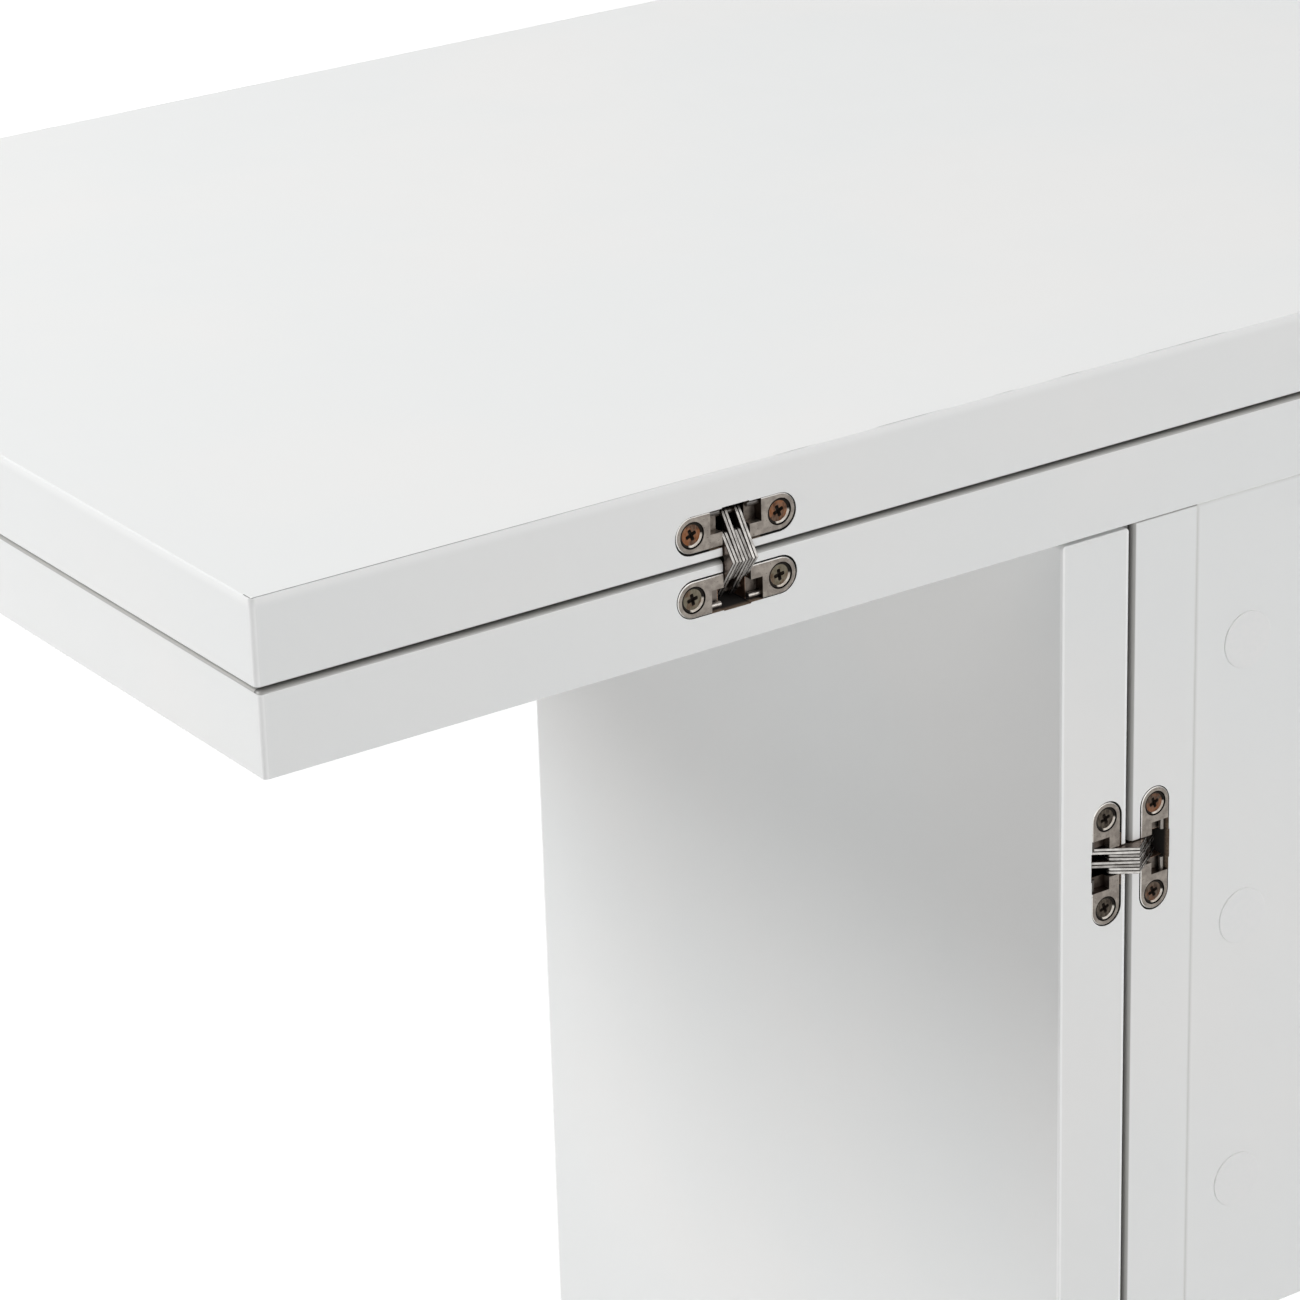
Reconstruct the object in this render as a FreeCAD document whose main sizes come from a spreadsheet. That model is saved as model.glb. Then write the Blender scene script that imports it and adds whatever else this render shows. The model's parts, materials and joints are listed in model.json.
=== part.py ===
"""Swivel extending table: a console with a fold-over top and two swinging leg panels.

Millimetres. X runs along the table, Y from the front edge to the back, Z up.
The origin is on the floor, under the middle of the folded top.
Folded, the upper leaf lies on the lower one. It turns half a turn about the front edge
and then lies level in front of the lower leaf, on the two leg panels swung out under it.
"""
import FreeCAD, Part
import Sketcher
import os
import re

os.makedirs("parts", exist_ok=True)
doc = FreeCAD.newDocument("swivel_extending_table")
Vec = FreeCAD.Vector
RIGHT = Vec(1, 0, 0)
BACK = Vec(0, 1, 0)
UP = Vec(0, 0, 1)

# ---------------------------------------------------------------- sizes
SIZES = {
    # the two leaves
    "leaf_length": "1400",
    "leaf_depth": "460",
    "board_thick": "28",
    "leaf_gap": "1.4",
    "table_height": "750",
    "lower_setback": "1",
    # roundings: the leaves' upright corners, a soft long edge, a leg's shoulder, a plain arris
    "corner_round": "1.8",
    "edge_round": "1.5",
    "shoulder_round": "1.3",
    "arris_round": "0.4",
    # leg panels and stretcher
    "end_overhang": "300",
    "leg_depth": "318",
    "leg_gap": "1.9",
    "swing_gap": "1.1",
    "stretcher_drop": "318",
    "stretcher_thick": "18",
    "stretcher_setback": "1.5",
    "glide_height": "4",
    "glide_radius": "9",
    "nail_radius": "1.2",
    "nail_length": "12",
    "glide_inset": "30",
    # where the hinges sit along the edges
    "leaf_hinge_inset": "171",
    "leg_hinge_inset": "119.7",
    # how far the hinge lines lie off the middle of their gaps
    "hinge_drop": "0.45",
    "hinge_shift": "1.2",
    # hinge leaf: a round-ended flange with a block behind it
    "hinge_length": "44.8",
    "hinge_width": "11.9",
    "flange_bevel": "0.25",
    "hinge_offset": "10.6",
    "flange_deep": "3.5",
    "block_length": "21.2",
    "block_deep": "20.6",
    "floor_thick": "1",
    "cheek_skin": "0.6",
    "channel_width": "10.4",
    "mouth_deep": "5.9",
    "well_start": "7.9",
    "shelf_length": "19.3",
    "shelf_width": "7.35",
    "shelf_deep": "3.4",
    "seat_gap": "0.3",
    "mortise_gap": "0.45",
    "seat_shift": "0.25",
    "far_room": "0.5",
    # hinge links, measured from the fold line along the edge face and into the board
    "pivot_along": "6.4",
    "pivot_in": "2.36",
    "elbow_out": "2.4",
    "slider_along": "12.7",
    "slider_in": "6.09",
    "link_half": "1.9",
    "strip_thick": "1.12",
    "strip_bevel": "0.16",
    "strip_pitch": "1.24",
    "pin_radius": "0.8",
    "pin_play": "0.06",
    "stop_pin_radius": "0.95",
    "stop_pin_inset": "1.35",
    "stop_pin_in": "2.2",
    # hinge screws
    "screw_pitch": "32.9",
    "head_radius": "4.15",
    "head_sink": "0.35",
    "head_rim": "0.55",
    "face_radius": "3.35",
    "head_deep": "2.3",
    "cross_length": "4.4",
    "cross_width": "0.95",
    "cross_deep": "1.5",
    "shank_radius": "1.6",
    "screw_length": "18",
    "screw_play": "0.05",
    # cam fittings with cover caps, and dowels
    "cam_inset": "23.7",
    "cam_radius": "7.5",
    "cam_deep": "12.5",
    "cam_sink": "0.2",
    "bolt_level": "9",
    "cap_radius": "10.25",
    "cap_thick": "0.45",
    "cap_bevel": "0.2",
    "cap_drop": "54.7",
    "cap_pitch": "103",
    "bolt_radius": "3",
    "bolt_bite": "9",
    "dowel_radius": "4",
    "dowel_length": "30",
    "dowel_bite": "8",
    "top_cam_spread": "90",
    "fit_gap": "0.05",
    "bumper_radius": "5",
    "bumper_inset": "40",
}

sheet = doc.addObject("Spreadsheet::Sheet", "sizes")
for row, (word, number) in enumerate(SIZES.items(), 1):
    sheet.set("A%d" % row, word)
    sheet.set("B%d" % row, number)
    sheet.setAlias("B%d" % row, word)
doc.recompute()


def size(word):
    """The number in the named cell."""
    return float(sheet.get(word))


def bind(thing, prop, text):
    """Tie a property to the sheet; every size name holds an underscore."""
    thing.setExpression(prop, re.sub(r"([a-z]+_[a-z_]+)", r"sizes.\1", text))


def place(thing, at, turn=FreeCAD.Rotation()):
    thing.Placement = FreeCAD.Placement(Vec(), turn)
    for axis, text in zip("xyz", at):
        bind(thing, "Placement.Base." + axis, text)


# ---------------------------------------------------------------- building blocks
def anywhere(edge, board):
    return True


def upright(edge, board):
    return edge.ZLength > edge.XLength + edge.YLength


def at_top(edge, board):
    return edge.ZMin > board.ZMax - 0.01


def top_along_depth(edge, board):
    return at_top(edge, board) and edge.YLength > edge.XLength


def is_sharp(shape, edge):
    """Whether the two faces that meet at an edge stand at an angle."""
    middle = edge.valueAt((edge.FirstParameter + edge.LastParameter) / 2)
    faces = shape.ancestorsOfType(edge, Part.Face)
    first, second = [face.normalAt(*face.Surface.parameter(middle)) for face in faces]
    return first.dot(second) < 0.5


def rounded_board(name, at, sides, roundings):
    """A board padded up from one rectangle; then its sharp edges are rounded in turn.

    Each rounding is a size and the edges it takes, chosen by their boxes.
    """
    body = doc.addObject("PartDesign::Body", name + "_body")
    sketch = body.newObject("Sketcher::SketchObject", name + "_outline")
    floor = [plane for plane in body.Origin.OriginFeatures if plane.Role == "XY_Plane"]
    sketch.AttachmentSupport = [(floor[0], "")]
    sketch.MapMode = "FlatFace"
    corners = [Vec(0, 0), Vec(2, 0), Vec(2, 1), Vec(0, 1)]
    for i, corner in enumerate(corners):
        sketch.addGeometry(Part.LineSegment(corner, corners[(i + 1) % 4]))
    for i, rule in enumerate(["Horizontal", "Vertical"] * 2):
        sketch.addConstraint(Sketcher.Constraint(rule, i))
        sketch.addConstraint(Sketcher.Constraint("Coincident", i, 2, (i + 1) % 4, 1))
    sketch.addConstraint(Sketcher.Constraint("Coincident", 0, 1, -1, 1))
    wide = sketch.addConstraint(Sketcher.Constraint("DistanceX", 0, 1, 0, 2, 2))
    deep = sketch.addConstraint(Sketcher.Constraint("DistanceY", 1, 1, 1, 2, 1))
    bind(sketch, "Constraints[%d]" % wide, sides[0])
    bind(sketch, "Constraints[%d]" % deep, sides[1])
    pad = body.newObject("PartDesign::Pad", name + "_pad")
    pad.Profile = sketch
    bind(pad, "Length", sides[2])
    last = pad
    for radius, chosen in roundings:
        doc.recompute()
        whole = last.Shape
        taken = [
            "Edge%d" % i for i, edge in enumerate(whole.Edges, 1)
            if is_sharp(whole, edge) and chosen(edge.BoundBox, whole.BoundBox)
        ]
        rounding = body.newObject("PartDesign::Fillet", "%s_%s" % (name, radius))
        rounding.Base = (last, taken)
        bind(rounding, "Radius", radius)
        last = rounding
    place(body, at)
    return body


def box(name, at, sides):
    thing = doc.addObject("Part::Box", name)
    for prop, text in zip(("Length", "Width", "Height"), sides):
        bind(thing, prop, text)
    place(thing, at)
    return thing


def rod(name, at, radius, length, along=UP):
    thing = doc.addObject("Part::Cylinder", name)
    bind(thing, "Radius", radius)
    bind(thing, "Height", length)
    place(thing, at, FreeCAD.Rotation(UP, along))
    return thing


def cone(name, at, low_radius, high_radius, length):
    thing = doc.addObject("Part::Cone", name)
    bind(thing, "Radius1", low_radius)
    bind(thing, "Radius2", high_radius)
    bind(thing, "Height", length)
    place(thing, at)
    return thing


def group(name, pieces):
    thing = doc.addObject("Part::Compound", name)
    thing.Links = pieces
    return thing


def fused(name, pieces):
    thing = doc.addObject("Part::MultiFuse", name)
    thing.Shapes = pieces
    return thing


def cut(name, base, tools):
    thing = doc.addObject("Part::Cut", name)
    thing.Base = base
    thing.Tool = fused(name + "_tools", tools) if len(tools) > 1 else tools[0]
    return thing


def turned(along, out):
    """The turn that lays local X along one direction and local Z out of the board."""
    return FreeCAD.Rotation(along, out.cross(along), out, "XYZ")


def copies(name, seed, spots):
    """One copy of the seed at every spot; a spot is a point in expressions and a turn."""
    links = []
    for i, (point, turn) in enumerate(spots, 1):
        link = doc.addObject("App::Link", "%s_%d" % (name, i))
        link.LinkedObject = seed
        link.LinkTransform = True
        place(link, point, turn)
        links.append(link)
    return group(name + "_set", links)


NODES = {}


def keep(name, thing):
    """Name a finished sub-part; the label is its file name too."""
    thing.Label = name
    NODES[name] = thing


# ---------------------------------------------------------------- one hinge half
# Local frame of a hinge half: X along the fold line, Y away from it over the edge face,
# Z straight out of the board. The boards turn about a line just in front of the X axis.
NEAR_EDGE = "(hinge_offset - hinge_width/2)"
FAR_EDGE = "(hinge_offset + hinge_width/2)"
ROOM_EDGE = "(hinge_offset + hinge_width/2 + far_room)"
SHELF_EDGE = "(hinge_offset + hinge_width/2 - shelf_width)"
STOP_LINE = "(hinge_offset + hinge_width/2 - stop_pin_inset)"
PIVOT_END = "-(block_length/2 - cheek_skin)"
SEAT_TOP = "(head_sink + head_rim)"
SIDES = (("left", "-1"), ("right", "1"))


def round_ended(name, grow, deep, middle="hinge_offset"):
    """A plate with round ends whose face lies at Z = 0."""
    half_width = "(hinge_width/2 + %s)" % grow
    straight = "(hinge_length - hinge_width)"
    pieces = [box(
        name + "_bar",
        ("-" + straight + "/2", "%s - %s" % (middle, half_width), "-" + deep),
        (straight, "2*" + half_width, deep),
    )]
    for side, sign in SIDES:
        end = (sign + "*" + straight + "/2", middle, "-" + deep)
        pieces.append(rod(name + "_end_" + side, end, half_width, deep))
    plate = fused(name, pieces)
    plate.Refine = True
    return plate


def bevelled(name, solid, amount, chosen):
    """The solid with a flat bevel on the edges that the test picks out."""
    doc.recompute()
    thing = doc.addObject("Part::Chamfer", name)
    thing.Base = solid
    width = size(amount)
    thing.Edges = [(i, width, width) for i, edge in enumerate(solid.Shape.Edges, 1) if chosen(edge)]
    return thing


def hollow(name, length, near, far, deep):
    """A square pocket from Y = near to Y = far that opens at the face."""
    return box(
        name,
        ("-(%s)/2" % length, near, "-" + deep),
        (length, "%s - (%s)" % (far, near), deep + " + head_rim"),
    )


def hinge_leaf():
    """Die-cast half: flange and block, with link channel, shelf, screw and pin seats."""
    block = box("block", ("-block_length/2", NEAR_EDGE, "-block_deep"),
                ("block_length", "hinge_width", "block_deep - flange_bevel"))
    flange = bevelled("flange_bevel", round_ended("flange", "0", "flange_deep"),
                      "flange_bevel", lambda edge: edge.BoundBox.ZMin > -size("flange_bevel"))
    casting = fused("hinge_casting", [flange, block])
    tools = [
        hollow("link_mouth", "channel_width", "0", ROOM_EDGE, "mouth_deep"),
        hollow("link_well", "channel_width", "well_start", ROOM_EDGE, "(block_deep - floor_thick)"),
        hollow("shelf", "shelf_length", SHELF_EDGE, ROOM_EDGE, "shelf_deep"),
        rod("pivot_seat", (PIVOT_END, "pivot_along", "-pivot_in"),
            "pin_radius", "block_length/2 - cheek_skin", RIGHT),
    ]
    for side, sign in SIDES:
        x = sign + "*screw_pitch/2"
        tools += [
            rod("seat_" + side, (x, "hinge_offset", "-" + SEAT_TOP),
                "head_radius + seat_gap", SEAT_TOP + " + head_rim"),
            cone("sink_" + side, (x, "hinge_offset", "-%s - head_deep" % SEAT_TOP),
                 "shank_radius + screw_play", "head_radius + screw_play", "head_deep"),
            rod("way_" + side, (x, "hinge_offset", "-flange_deep - head_rim"),
                "shank_radius + screw_play", "flange_deep"),
            rod("stop_seat_" + side,
                (sign + "*(block_length/2 - cheek_skin)", STOP_LINE, "-stop_pin_in"),
                "stop_pin_radius", "(block_length - channel_width)/2", RIGHT * -float(sign)),
        ]
    return cut("hinge_leaf", casting, tools)


def hinge_pins():
    """Pivot pin from one cheek into the outer pair of links, and two short keeper pins."""
    pivot = rod("pivot_pin", (PIVOT_END, "pivot_along", "-pivot_in"),
                "pin_radius", "block_length/2 - cheek_skin - 2.25*strip_pitch", RIGHT)
    stops = []
    for side, sign in SIDES:
        start = sign + "*(block_length/2 - cheek_skin)"
        stops.append(rod("stop_pin_" + side, (start, STOP_LINE, "-stop_pin_in"),
                         "stop_pin_radius", "(block_length - channel_width)/2 - cheek_skin",
                         RIGHT * -float(sign)))
    return group("hinge_pins", [pivot] + stops)


def hinge_screw_pair():
    """Two countersunk cross-head screws, standing a little below the flange face."""
    pieces = []
    for side, sign in SIDES:
        x = sign + "*screw_pitch/2"
        head = [
            cone("rim_" + side, (x, "hinge_offset", "-" + SEAT_TOP),
                 "head_radius", "face_radius", "head_rim"),
            cone("head_" + side, (x, "hinge_offset", "-%s - head_deep" % SEAT_TOP),
                 "shank_radius", "head_radius", "head_deep"),
            rod("shank_" + side, (x, "hinge_offset", "-screw_length"),
                "shank_radius", "screw_length - %s - head_deep" % SEAT_TOP),
        ]
        cross = []
        for name, (wide, tall) in (("bar_", ("cross_length", "cross_width")),
                                   ("post_", ("cross_width", "cross_length"))):
            cross.append(box(
                name + side,
                ("%s - %s/2" % (x, wide), "hinge_offset - %s/2" % tall, "-head_sink - cross_deep"),
                (wide, tall, "cross_deep + head_rim"),
            ))
        pieces.append(cut("screw_" + side, fused("screw_blank_" + side, head), cross))
    return group("hinge_screws", pieces)


def link_corner(middle, before, after):
    """Where two arms of half the link width meet on their outer side."""
    normals = [Vec(0, -arm.z, arm.y).normalize() for arm in (middle - before, after - middle)]
    both = normals[0] + normals[1]
    return normals, both * (size("link_half") / (1 + normals[0].dot(normals[1])))


def hinge_link_set():
    """The four bent strips pivoted in one hinge half; their long arms reach the other half.

    The outline follows from three points: pivot, elbow and slider. It is not a sum of
    primitives that cells could drive, so the shape is worked out from the cell numbers.
    """
    half = size("link_half")
    pivot = Vec(0, size("pivot_along"), -size("pivot_in"))
    elbow = Vec(0, 0, size("elbow_out"))
    slider = Vec(0, -size("slider_along"), -size("slider_in"))
    (first, second), corner = link_corner(elbow, pivot, slider)
    back_to_pivot = (pivot - elbow).normalize() * half
    on_to_slider = (slider - elbow).normalize() * half
    ring = [
        Part.LineSegment(pivot + first * half, elbow + corner),
        Part.LineSegment(elbow + corner, slider + second * half),
        Part.Arc(slider + second * half, slider + on_to_slider, slider - second * half),
        Part.LineSegment(slider - second * half, elbow - corner),
        Part.LineSegment(elbow - corner, pivot - first * half),
        Part.Arc(pivot - first * half, pivot + back_to_pivot, pivot + first * half),
    ]
    outline = Part.Face(Part.Wire([curve.toShape() for curve in ring]))
    strip = outline.extrude(RIGHT * size("strip_thick"))
    across = [edge for edge in strip.Edges if edge.BoundBox.XLength > size("strip_thick") / 2]
    rims = [edge for edge in strip.Edges if not any(edge.isSame(other) for other in across)]
    strip = strip.makeChamfer(size("strip_bevel"), rims)
    for point, play in ((pivot, "pin_play"), (slider, "fit_gap")):
        hole = Part.makeCylinder(size("pin_radius") + size(play), 2 * size("strip_thick"), point, RIGHT)
        strip = strip.cut(hole)
    strips = []
    # eight strips lie side by side; this half holds every other pair, the other half the rest
    for place_in_pack in (0, 1, 4, 5):
        middle = (place_in_pack - 3.5) * size("strip_pitch")
        strips.append(strip.translated(RIGHT * (middle - size("strip_thick") / 2)))
    links = doc.addObject("Part::Feature", "hinge_links")
    links.Shape = Part.makeCompound(strips)
    return links


def slider_pin():
    """Pin across the channel at the far ends of the long arms."""
    return rod("slider_pin", ("-channel_width/2 + seat_gap", "-slider_along", "-slider_in"),
               "pin_radius", "channel_width - 2*seat_gap", RIGHT)


def hinge_mortise():
    """What one hinge half takes out of a board, with the notch and the room for the links.

    The gap round the hinge half is wider on the side of the fold.
    """
    whole = "(block_deep + seat_gap)"
    tools = [
        round_ended("mortise_flange", "mortise_gap", "flange_deep", "(hinge_offset - seat_shift)"),
        hollow("mortise_block", "(block_length + 2*mortise_gap)",
               NEAR_EDGE + " - mortise_gap - seat_shift",
               FAR_EDGE + " + mortise_gap - seat_shift", whole),
        hollow("mortise_room", "channel_width", "hinge_offset", ROOM_EDGE, whole),
        hollow("mortise_mouth", "(channel_width + seat_gap)", "-(leg_gap + hinge_shift)",
               "hinge_offset", "mouth_deep"),
    ]
    for side, sign in SIDES:
        tools.append(rod("pilot_" + side, (sign + "*screw_pitch/2", "hinge_offset", "-screw_length - 1"),
                         "shank_radius + screw_play", "screw_length"))
    return fused("hinge_mortise", tools)


# ---------------------------------------------------------------- one cam fitting
# Local frame of a cam fitting: origin on the face that carries the cam, Z out of that
# face, X towards the board that the bolt pulls in.
def cam():
    drum = rod("cam_drum", ("0", "0", "-cam_deep"), "cam_radius", "cam_deep - cam_sink")
    bore = rod("cam_bore", ("-cam_radius/2", "0", "-bolt_level"),
               "bolt_radius + fit_gap", "2*cam_radius", RIGHT)
    slot = box("cam_slot", ("-cam_radius/2", "-cross_width/2", "-cam_sink - cross_deep"),
               ("cam_radius", "cross_width", "2*cross_deep"))
    return cut("cam", drum, [bore, slot])


def cam_bolt():
    return rod("cam_bolt", ("-cam_radius/2 + fit_gap", "0", "-bolt_level"), "bolt_radius",
               "cam_radius/2 + cam_inset + bolt_bite - fit_gap", RIGHT)


def cover_cap():
    disc = rod("cap_disc", ("0", "0", "0"), "cap_radius", "cap_thick")
    return bevelled("cover_cap", disc, "cap_bevel",
                    lambda edge: edge.BoundBox.ZMin > size("cap_thick") / 2)


def cam_hole():
    return rod("cam_hole", ("0", "0", "-cam_deep"), "cam_radius + fit_gap", "2*cam_deep")


def bolt_hole():
    return rod("bolt_hole", ("0", "0", "-bolt_level"), "bolt_radius + fit_gap",
               "cam_inset + bolt_bite", RIGHT)


def dowel():
    """Set in the local frame of a cam, so that it crosses the same joint."""
    return rod("dowel", ("cam_inset + dowel_bite - dowel_length", "0", "-bolt_level"),
               "dowel_radius", "dowel_length", RIGHT)


def dowel_hole():
    return rod("dowel_hole", ("cam_inset + dowel_bite - dowel_length", "0", "-bolt_level"),
               "dowel_radius + fit_gap", "dowel_length", RIGHT)


def glide():
    """Nail-on foot; the origin is on the floor."""
    return fused("glide", [
        rod("glide_disc", ("0", "0", "0"), "glide_radius", "glide_height"),
        rod("glide_nail", ("0", "0", "glide_height/2"), "nail_radius", "glide_height/2 + nail_length"),
    ])


def nail_hole():
    return rod("nail_hole", ("0", "0", "glide_height/2"), "nail_radius + fit_gap",
               "glide_height/2 + nail_length")


# ---------------------------------------------------------------- where things stand
FRONT = "(-leaf_depth/2)"
LEAF_END = "(leaf_length/2)"
UPPER_Z = "(table_height - board_thick)"
LOWER_Z = "(table_height - 2*board_thick - leaf_gap)"
FOLD_Z = "(table_height - board_thick - leaf_gap/2 - hinge_drop)"
SWING_OUT = "(leaf_length/2 - end_overhang)"
FIXED_OUT = "(leaf_length/2 - end_overhang - board_thick - leg_gap)"
FIXED_IN = "(leaf_length/2 - end_overhang - 2*board_thick - leg_gap)"
SWING_X = "(leaf_length/2 - end_overhang - board_thick - leg_gap/2 - hinge_shift)"
STRETCHER_Y = "(-leaf_depth/2 + stretcher_setback)"


def half_turns(away):
    """Turn of a hinge half on the front edge face whose board lies in one direction."""
    out = BACK * -1
    return turned(away.cross(out), out)


def leaf_hinges(away):
    inset = "*(leaf_length/2 - leaf_hinge_inset)"
    return [((step + inset, FRONT, FOLD_Z), half_turns(away)) for step in ("-1", "0", "1")]


def leg_hinges(sign, away):
    heights = (
        LOWER_Z + " - leg_hinge_inset",
        "(%s + glide_height)/2" % LOWER_Z,
        "glide_height + leg_hinge_inset",
    )
    return [((sign + "*" + SWING_X, FRONT, z), half_turns(away)) for z in heights]


def stretcher_joint(side_sign, drops):
    """Spots in the cam frame on the stretcher's face, one for each drop below the top."""
    x = side_sign + "*(%s - cam_inset)" % FIXED_IN
    turn = turned(RIGHT * float(side_sign), BACK * -1)
    return [((x, STRETCHER_Y, "%s - %s" % (LOWER_Z, drop)), turn) for drop in drops]


def top_joint(side_sign, steps):
    """Spots in the cam frame on a fixed leg's inner face, just below the lower leaf."""
    turn = turned(UP, RIGHT * -float(side_sign))
    x = side_sign + "*" + FIXED_IN
    return [((x, "-leaf_depth/2 + leg_depth/2 + " + step, LOWER_Z + " - cam_inset"), turn)
            for step in steps]


def glide_spots(x):
    rows = ("glide_inset", "(leg_depth - glide_inset)")
    flat = FreeCAD.Rotation()
    return [((x, "-leaf_depth/2 + " + row, "0"), flat) for row in rows]


CAM_DROPS = ("cap_drop", "(cap_drop + cap_pitch)", "(cap_drop + 2*cap_pitch)")
DOWEL_DROPS = ("(cap_drop + cap_pitch/2)", "(cap_drop + 1.5*cap_pitch)")
TOP_CAMS = ("top_cam_spread", "(-top_cam_spread)")
TOP_DOWELS = ("top_cam_spread/2", "(-top_cam_spread/2)")

# Every hinge line: its name, its still half and its moving half.
HINGE_LINES = {
    "leaf_hinge": (("lower", leaf_hinges(UP * -1)), ("upper", leaf_hinges(UP))),
    "left_hinge": (("fixed", leg_hinges("-1", RIGHT)), ("swing", leg_hinges("-1", RIGHT * -1))),
    "right_hinge": (("fixed", leg_hinges("1", RIGHT * -1)), ("swing", leg_hinges("1", RIGHT))),
}

casting = hinge_leaf()
screws = hinge_screw_pair()
pins = hinge_pins()
links = hinge_link_set()
slider = slider_pin()
mortise = hinge_mortise()
doc.recompute()

# ---------------------------------------------------------------- hinges on their lines
cutters = {}
for line, halves in HINGE_LINES.items():
    for half, spots in halves:
        label = "%s_%s" % (line, half)
        keep(label + "_plates", copies(label + "_plate", casting, spots))
        keep(label + "_screws", copies(label + "_screw", screws, spots))
        keep(label + "_pins", copies(label + "_pin", pins, spots))
        keep(label + "_links", copies(label + "_link", links, spots))
        keep(label + "_sliders", copies(label + "_slider", slider, spots))
        cutters[label] = copies(label + "_mortise", mortise, spots)

# ---------------------------------------------------------------- boards
cams = cam()
bolts = cam_bolt()
caps = cover_cap()
dowels = dowel()
holes = {"cam": cam_hole(), "bolt": bolt_hole(), "dowel": dowel_hole(), "nail": nail_hole()}
feet = glide()

joints = {}
for side, sign in SIDES:
    joints[side, "end_cams"] = stretcher_joint(sign, CAM_DROPS)
    joints[side, "end_dowels"] = stretcher_joint(sign, DOWEL_DROPS)
    joints[side, "top_cams"] = top_joint(sign, TOP_CAMS)
    joints[side, "top_dowels"] = top_joint(sign, TOP_DOWELS)


def both_sides(kind):
    return joints["left", kind] + joints["right", kind]


upper = rounded_board("upper_leaf", ("-" + LEAF_END, FRONT, UPPER_Z),
                      ("leaf_length", "leaf_depth", "board_thick"),
                      [("corner_round", upright), ("arris_round", anywhere)])
keep("upper_leaf", cut("upper_leaf_cut", upper, [cutters["leaf_hinge_upper"]]))

lower = rounded_board("lower_leaf", ("lower_setback - " + LEAF_END, FRONT, LOWER_Z),
                      ("leaf_length - 2*lower_setback", "leaf_depth", "board_thick"),
                      [("corner_round", upright), ("edge_round", at_top), ("arris_round", anywhere)])
keep("lower_leaf", cut("lower_leaf_cut", lower, [
    cutters["leaf_hinge_lower"],
    copies("leaf_bolt_hole", holes["bolt"], both_sides("top_cams")),
    copies("leaf_dowel_hole", holes["dowel"], both_sides("top_dowels")),
]))

stretcher = rounded_board("stretcher", ("-" + FIXED_IN, STRETCHER_Y, LOWER_Z + " - stretcher_drop"),
                          ("2*" + FIXED_IN, "stretcher_thick", "stretcher_drop"),
                          [("arris_round", anywhere)])
keep("stretcher", cut("stretcher_cut", stretcher, [
    copies("end_cam_hole", holes["cam"], both_sides("end_cams")),
    copies("end_bolt_hole", holes["bolt"], both_sides("end_cams")),
    copies("end_dowel_hole", holes["dowel"], both_sides("end_dowels")),
]))

for side, sign in SIDES:
    fixed_x = "-" + FIXED_OUT if side == "left" else FIXED_IN
    swing_x = "-" + SWING_OUT if side == "left" else "(%s - board_thick)" % SWING_OUT
    nails = {
        "fixed": glide_spots("%s*(%s + %s)/2" % (sign, FIXED_IN, FIXED_OUT)),
        "swing": glide_spots("%s*(%s - board_thick/2)" % (sign, SWING_OUT)),
    }
    fixed = rounded_board("fixed_leg_" + side, (fixed_x, FRONT, "glide_height"),
                          ("board_thick", "leg_depth", LOWER_Z + " - glide_height"),
                          [("edge_round", upright), ("arris_round", anywhere)])
    keep("fixed_leg_" + side, cut("fixed_leg_cut_" + side, fixed, [
        cutters[side + "_hinge_fixed"],
        copies("leg_bolt_hole_" + side, holes["bolt"], joints[side, "end_cams"] + joints[side, "top_cams"]),
        copies("leg_dowel_hole_" + side, holes["dowel"],
               joints[side, "end_dowels"] + joints[side, "top_dowels"]),
        copies("leg_cam_hole_" + side, holes["cam"], joints[side, "top_cams"]),
        copies("fixed_nail_hole_" + side, holes["nail"], nails["fixed"]),
    ]))
    swing = rounded_board("swing_leg_" + side, (swing_x, FRONT, "glide_height"),
                          ("board_thick", "leg_depth", LOWER_Z + " - swing_gap - glide_height"),
                          [("shoulder_round", top_along_depth), ("arris_round", anywhere)])
    keep("swing_leg_" + side, cut("swing_leg_cut_" + side, swing, [
        cutters[side + "_hinge_swing"],
        copies("swing_nail_hole_" + side, holes["nail"], nails["swing"]),
    ]))
    keep("fixed_glides_" + side, copies("fixed_glide_" + side, feet, nails["fixed"]))
    keep("swing_glides_" + side, copies("swing_glide_" + side, feet, nails["swing"]))

# ---------------------------------------------------------------- fittings
keep("stretcher_cams", copies("end_cam", cams, both_sides("end_cams")))
keep("stretcher_bolts", copies("end_bolt", bolts, both_sides("end_cams")))
keep("stretcher_caps", copies("end_cap", caps, both_sides("end_cams")))
keep("stretcher_dowels", copies("end_dowel", dowels, both_sides("end_dowels")))
keep("leg_cams", copies("top_cam", cams, both_sides("top_cams")))
keep("leg_bolts", copies("top_bolt", bolts, both_sides("top_cams")))
keep("leg_caps", copies("top_cap", caps, both_sides("top_cams")))
keep("leg_dowels", copies("top_dowel", dowels, both_sides("top_dowels")))

pads = []
for side, sign in SIDES:
    for row in ("-1", "1"):
        pads.append(rod(
            "pad_%s_%s" % (side, "front" if row == "-1" else "back"),
            (sign + "*(leaf_length/2 - bumper_inset)", row + "*(leaf_depth/2 - bumper_inset)",
             LOWER_Z + " + board_thick"),
            "bumper_radius", "leaf_gap",
        ))
keep("leaf_bumpers", group("bumper_set", pads))

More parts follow.
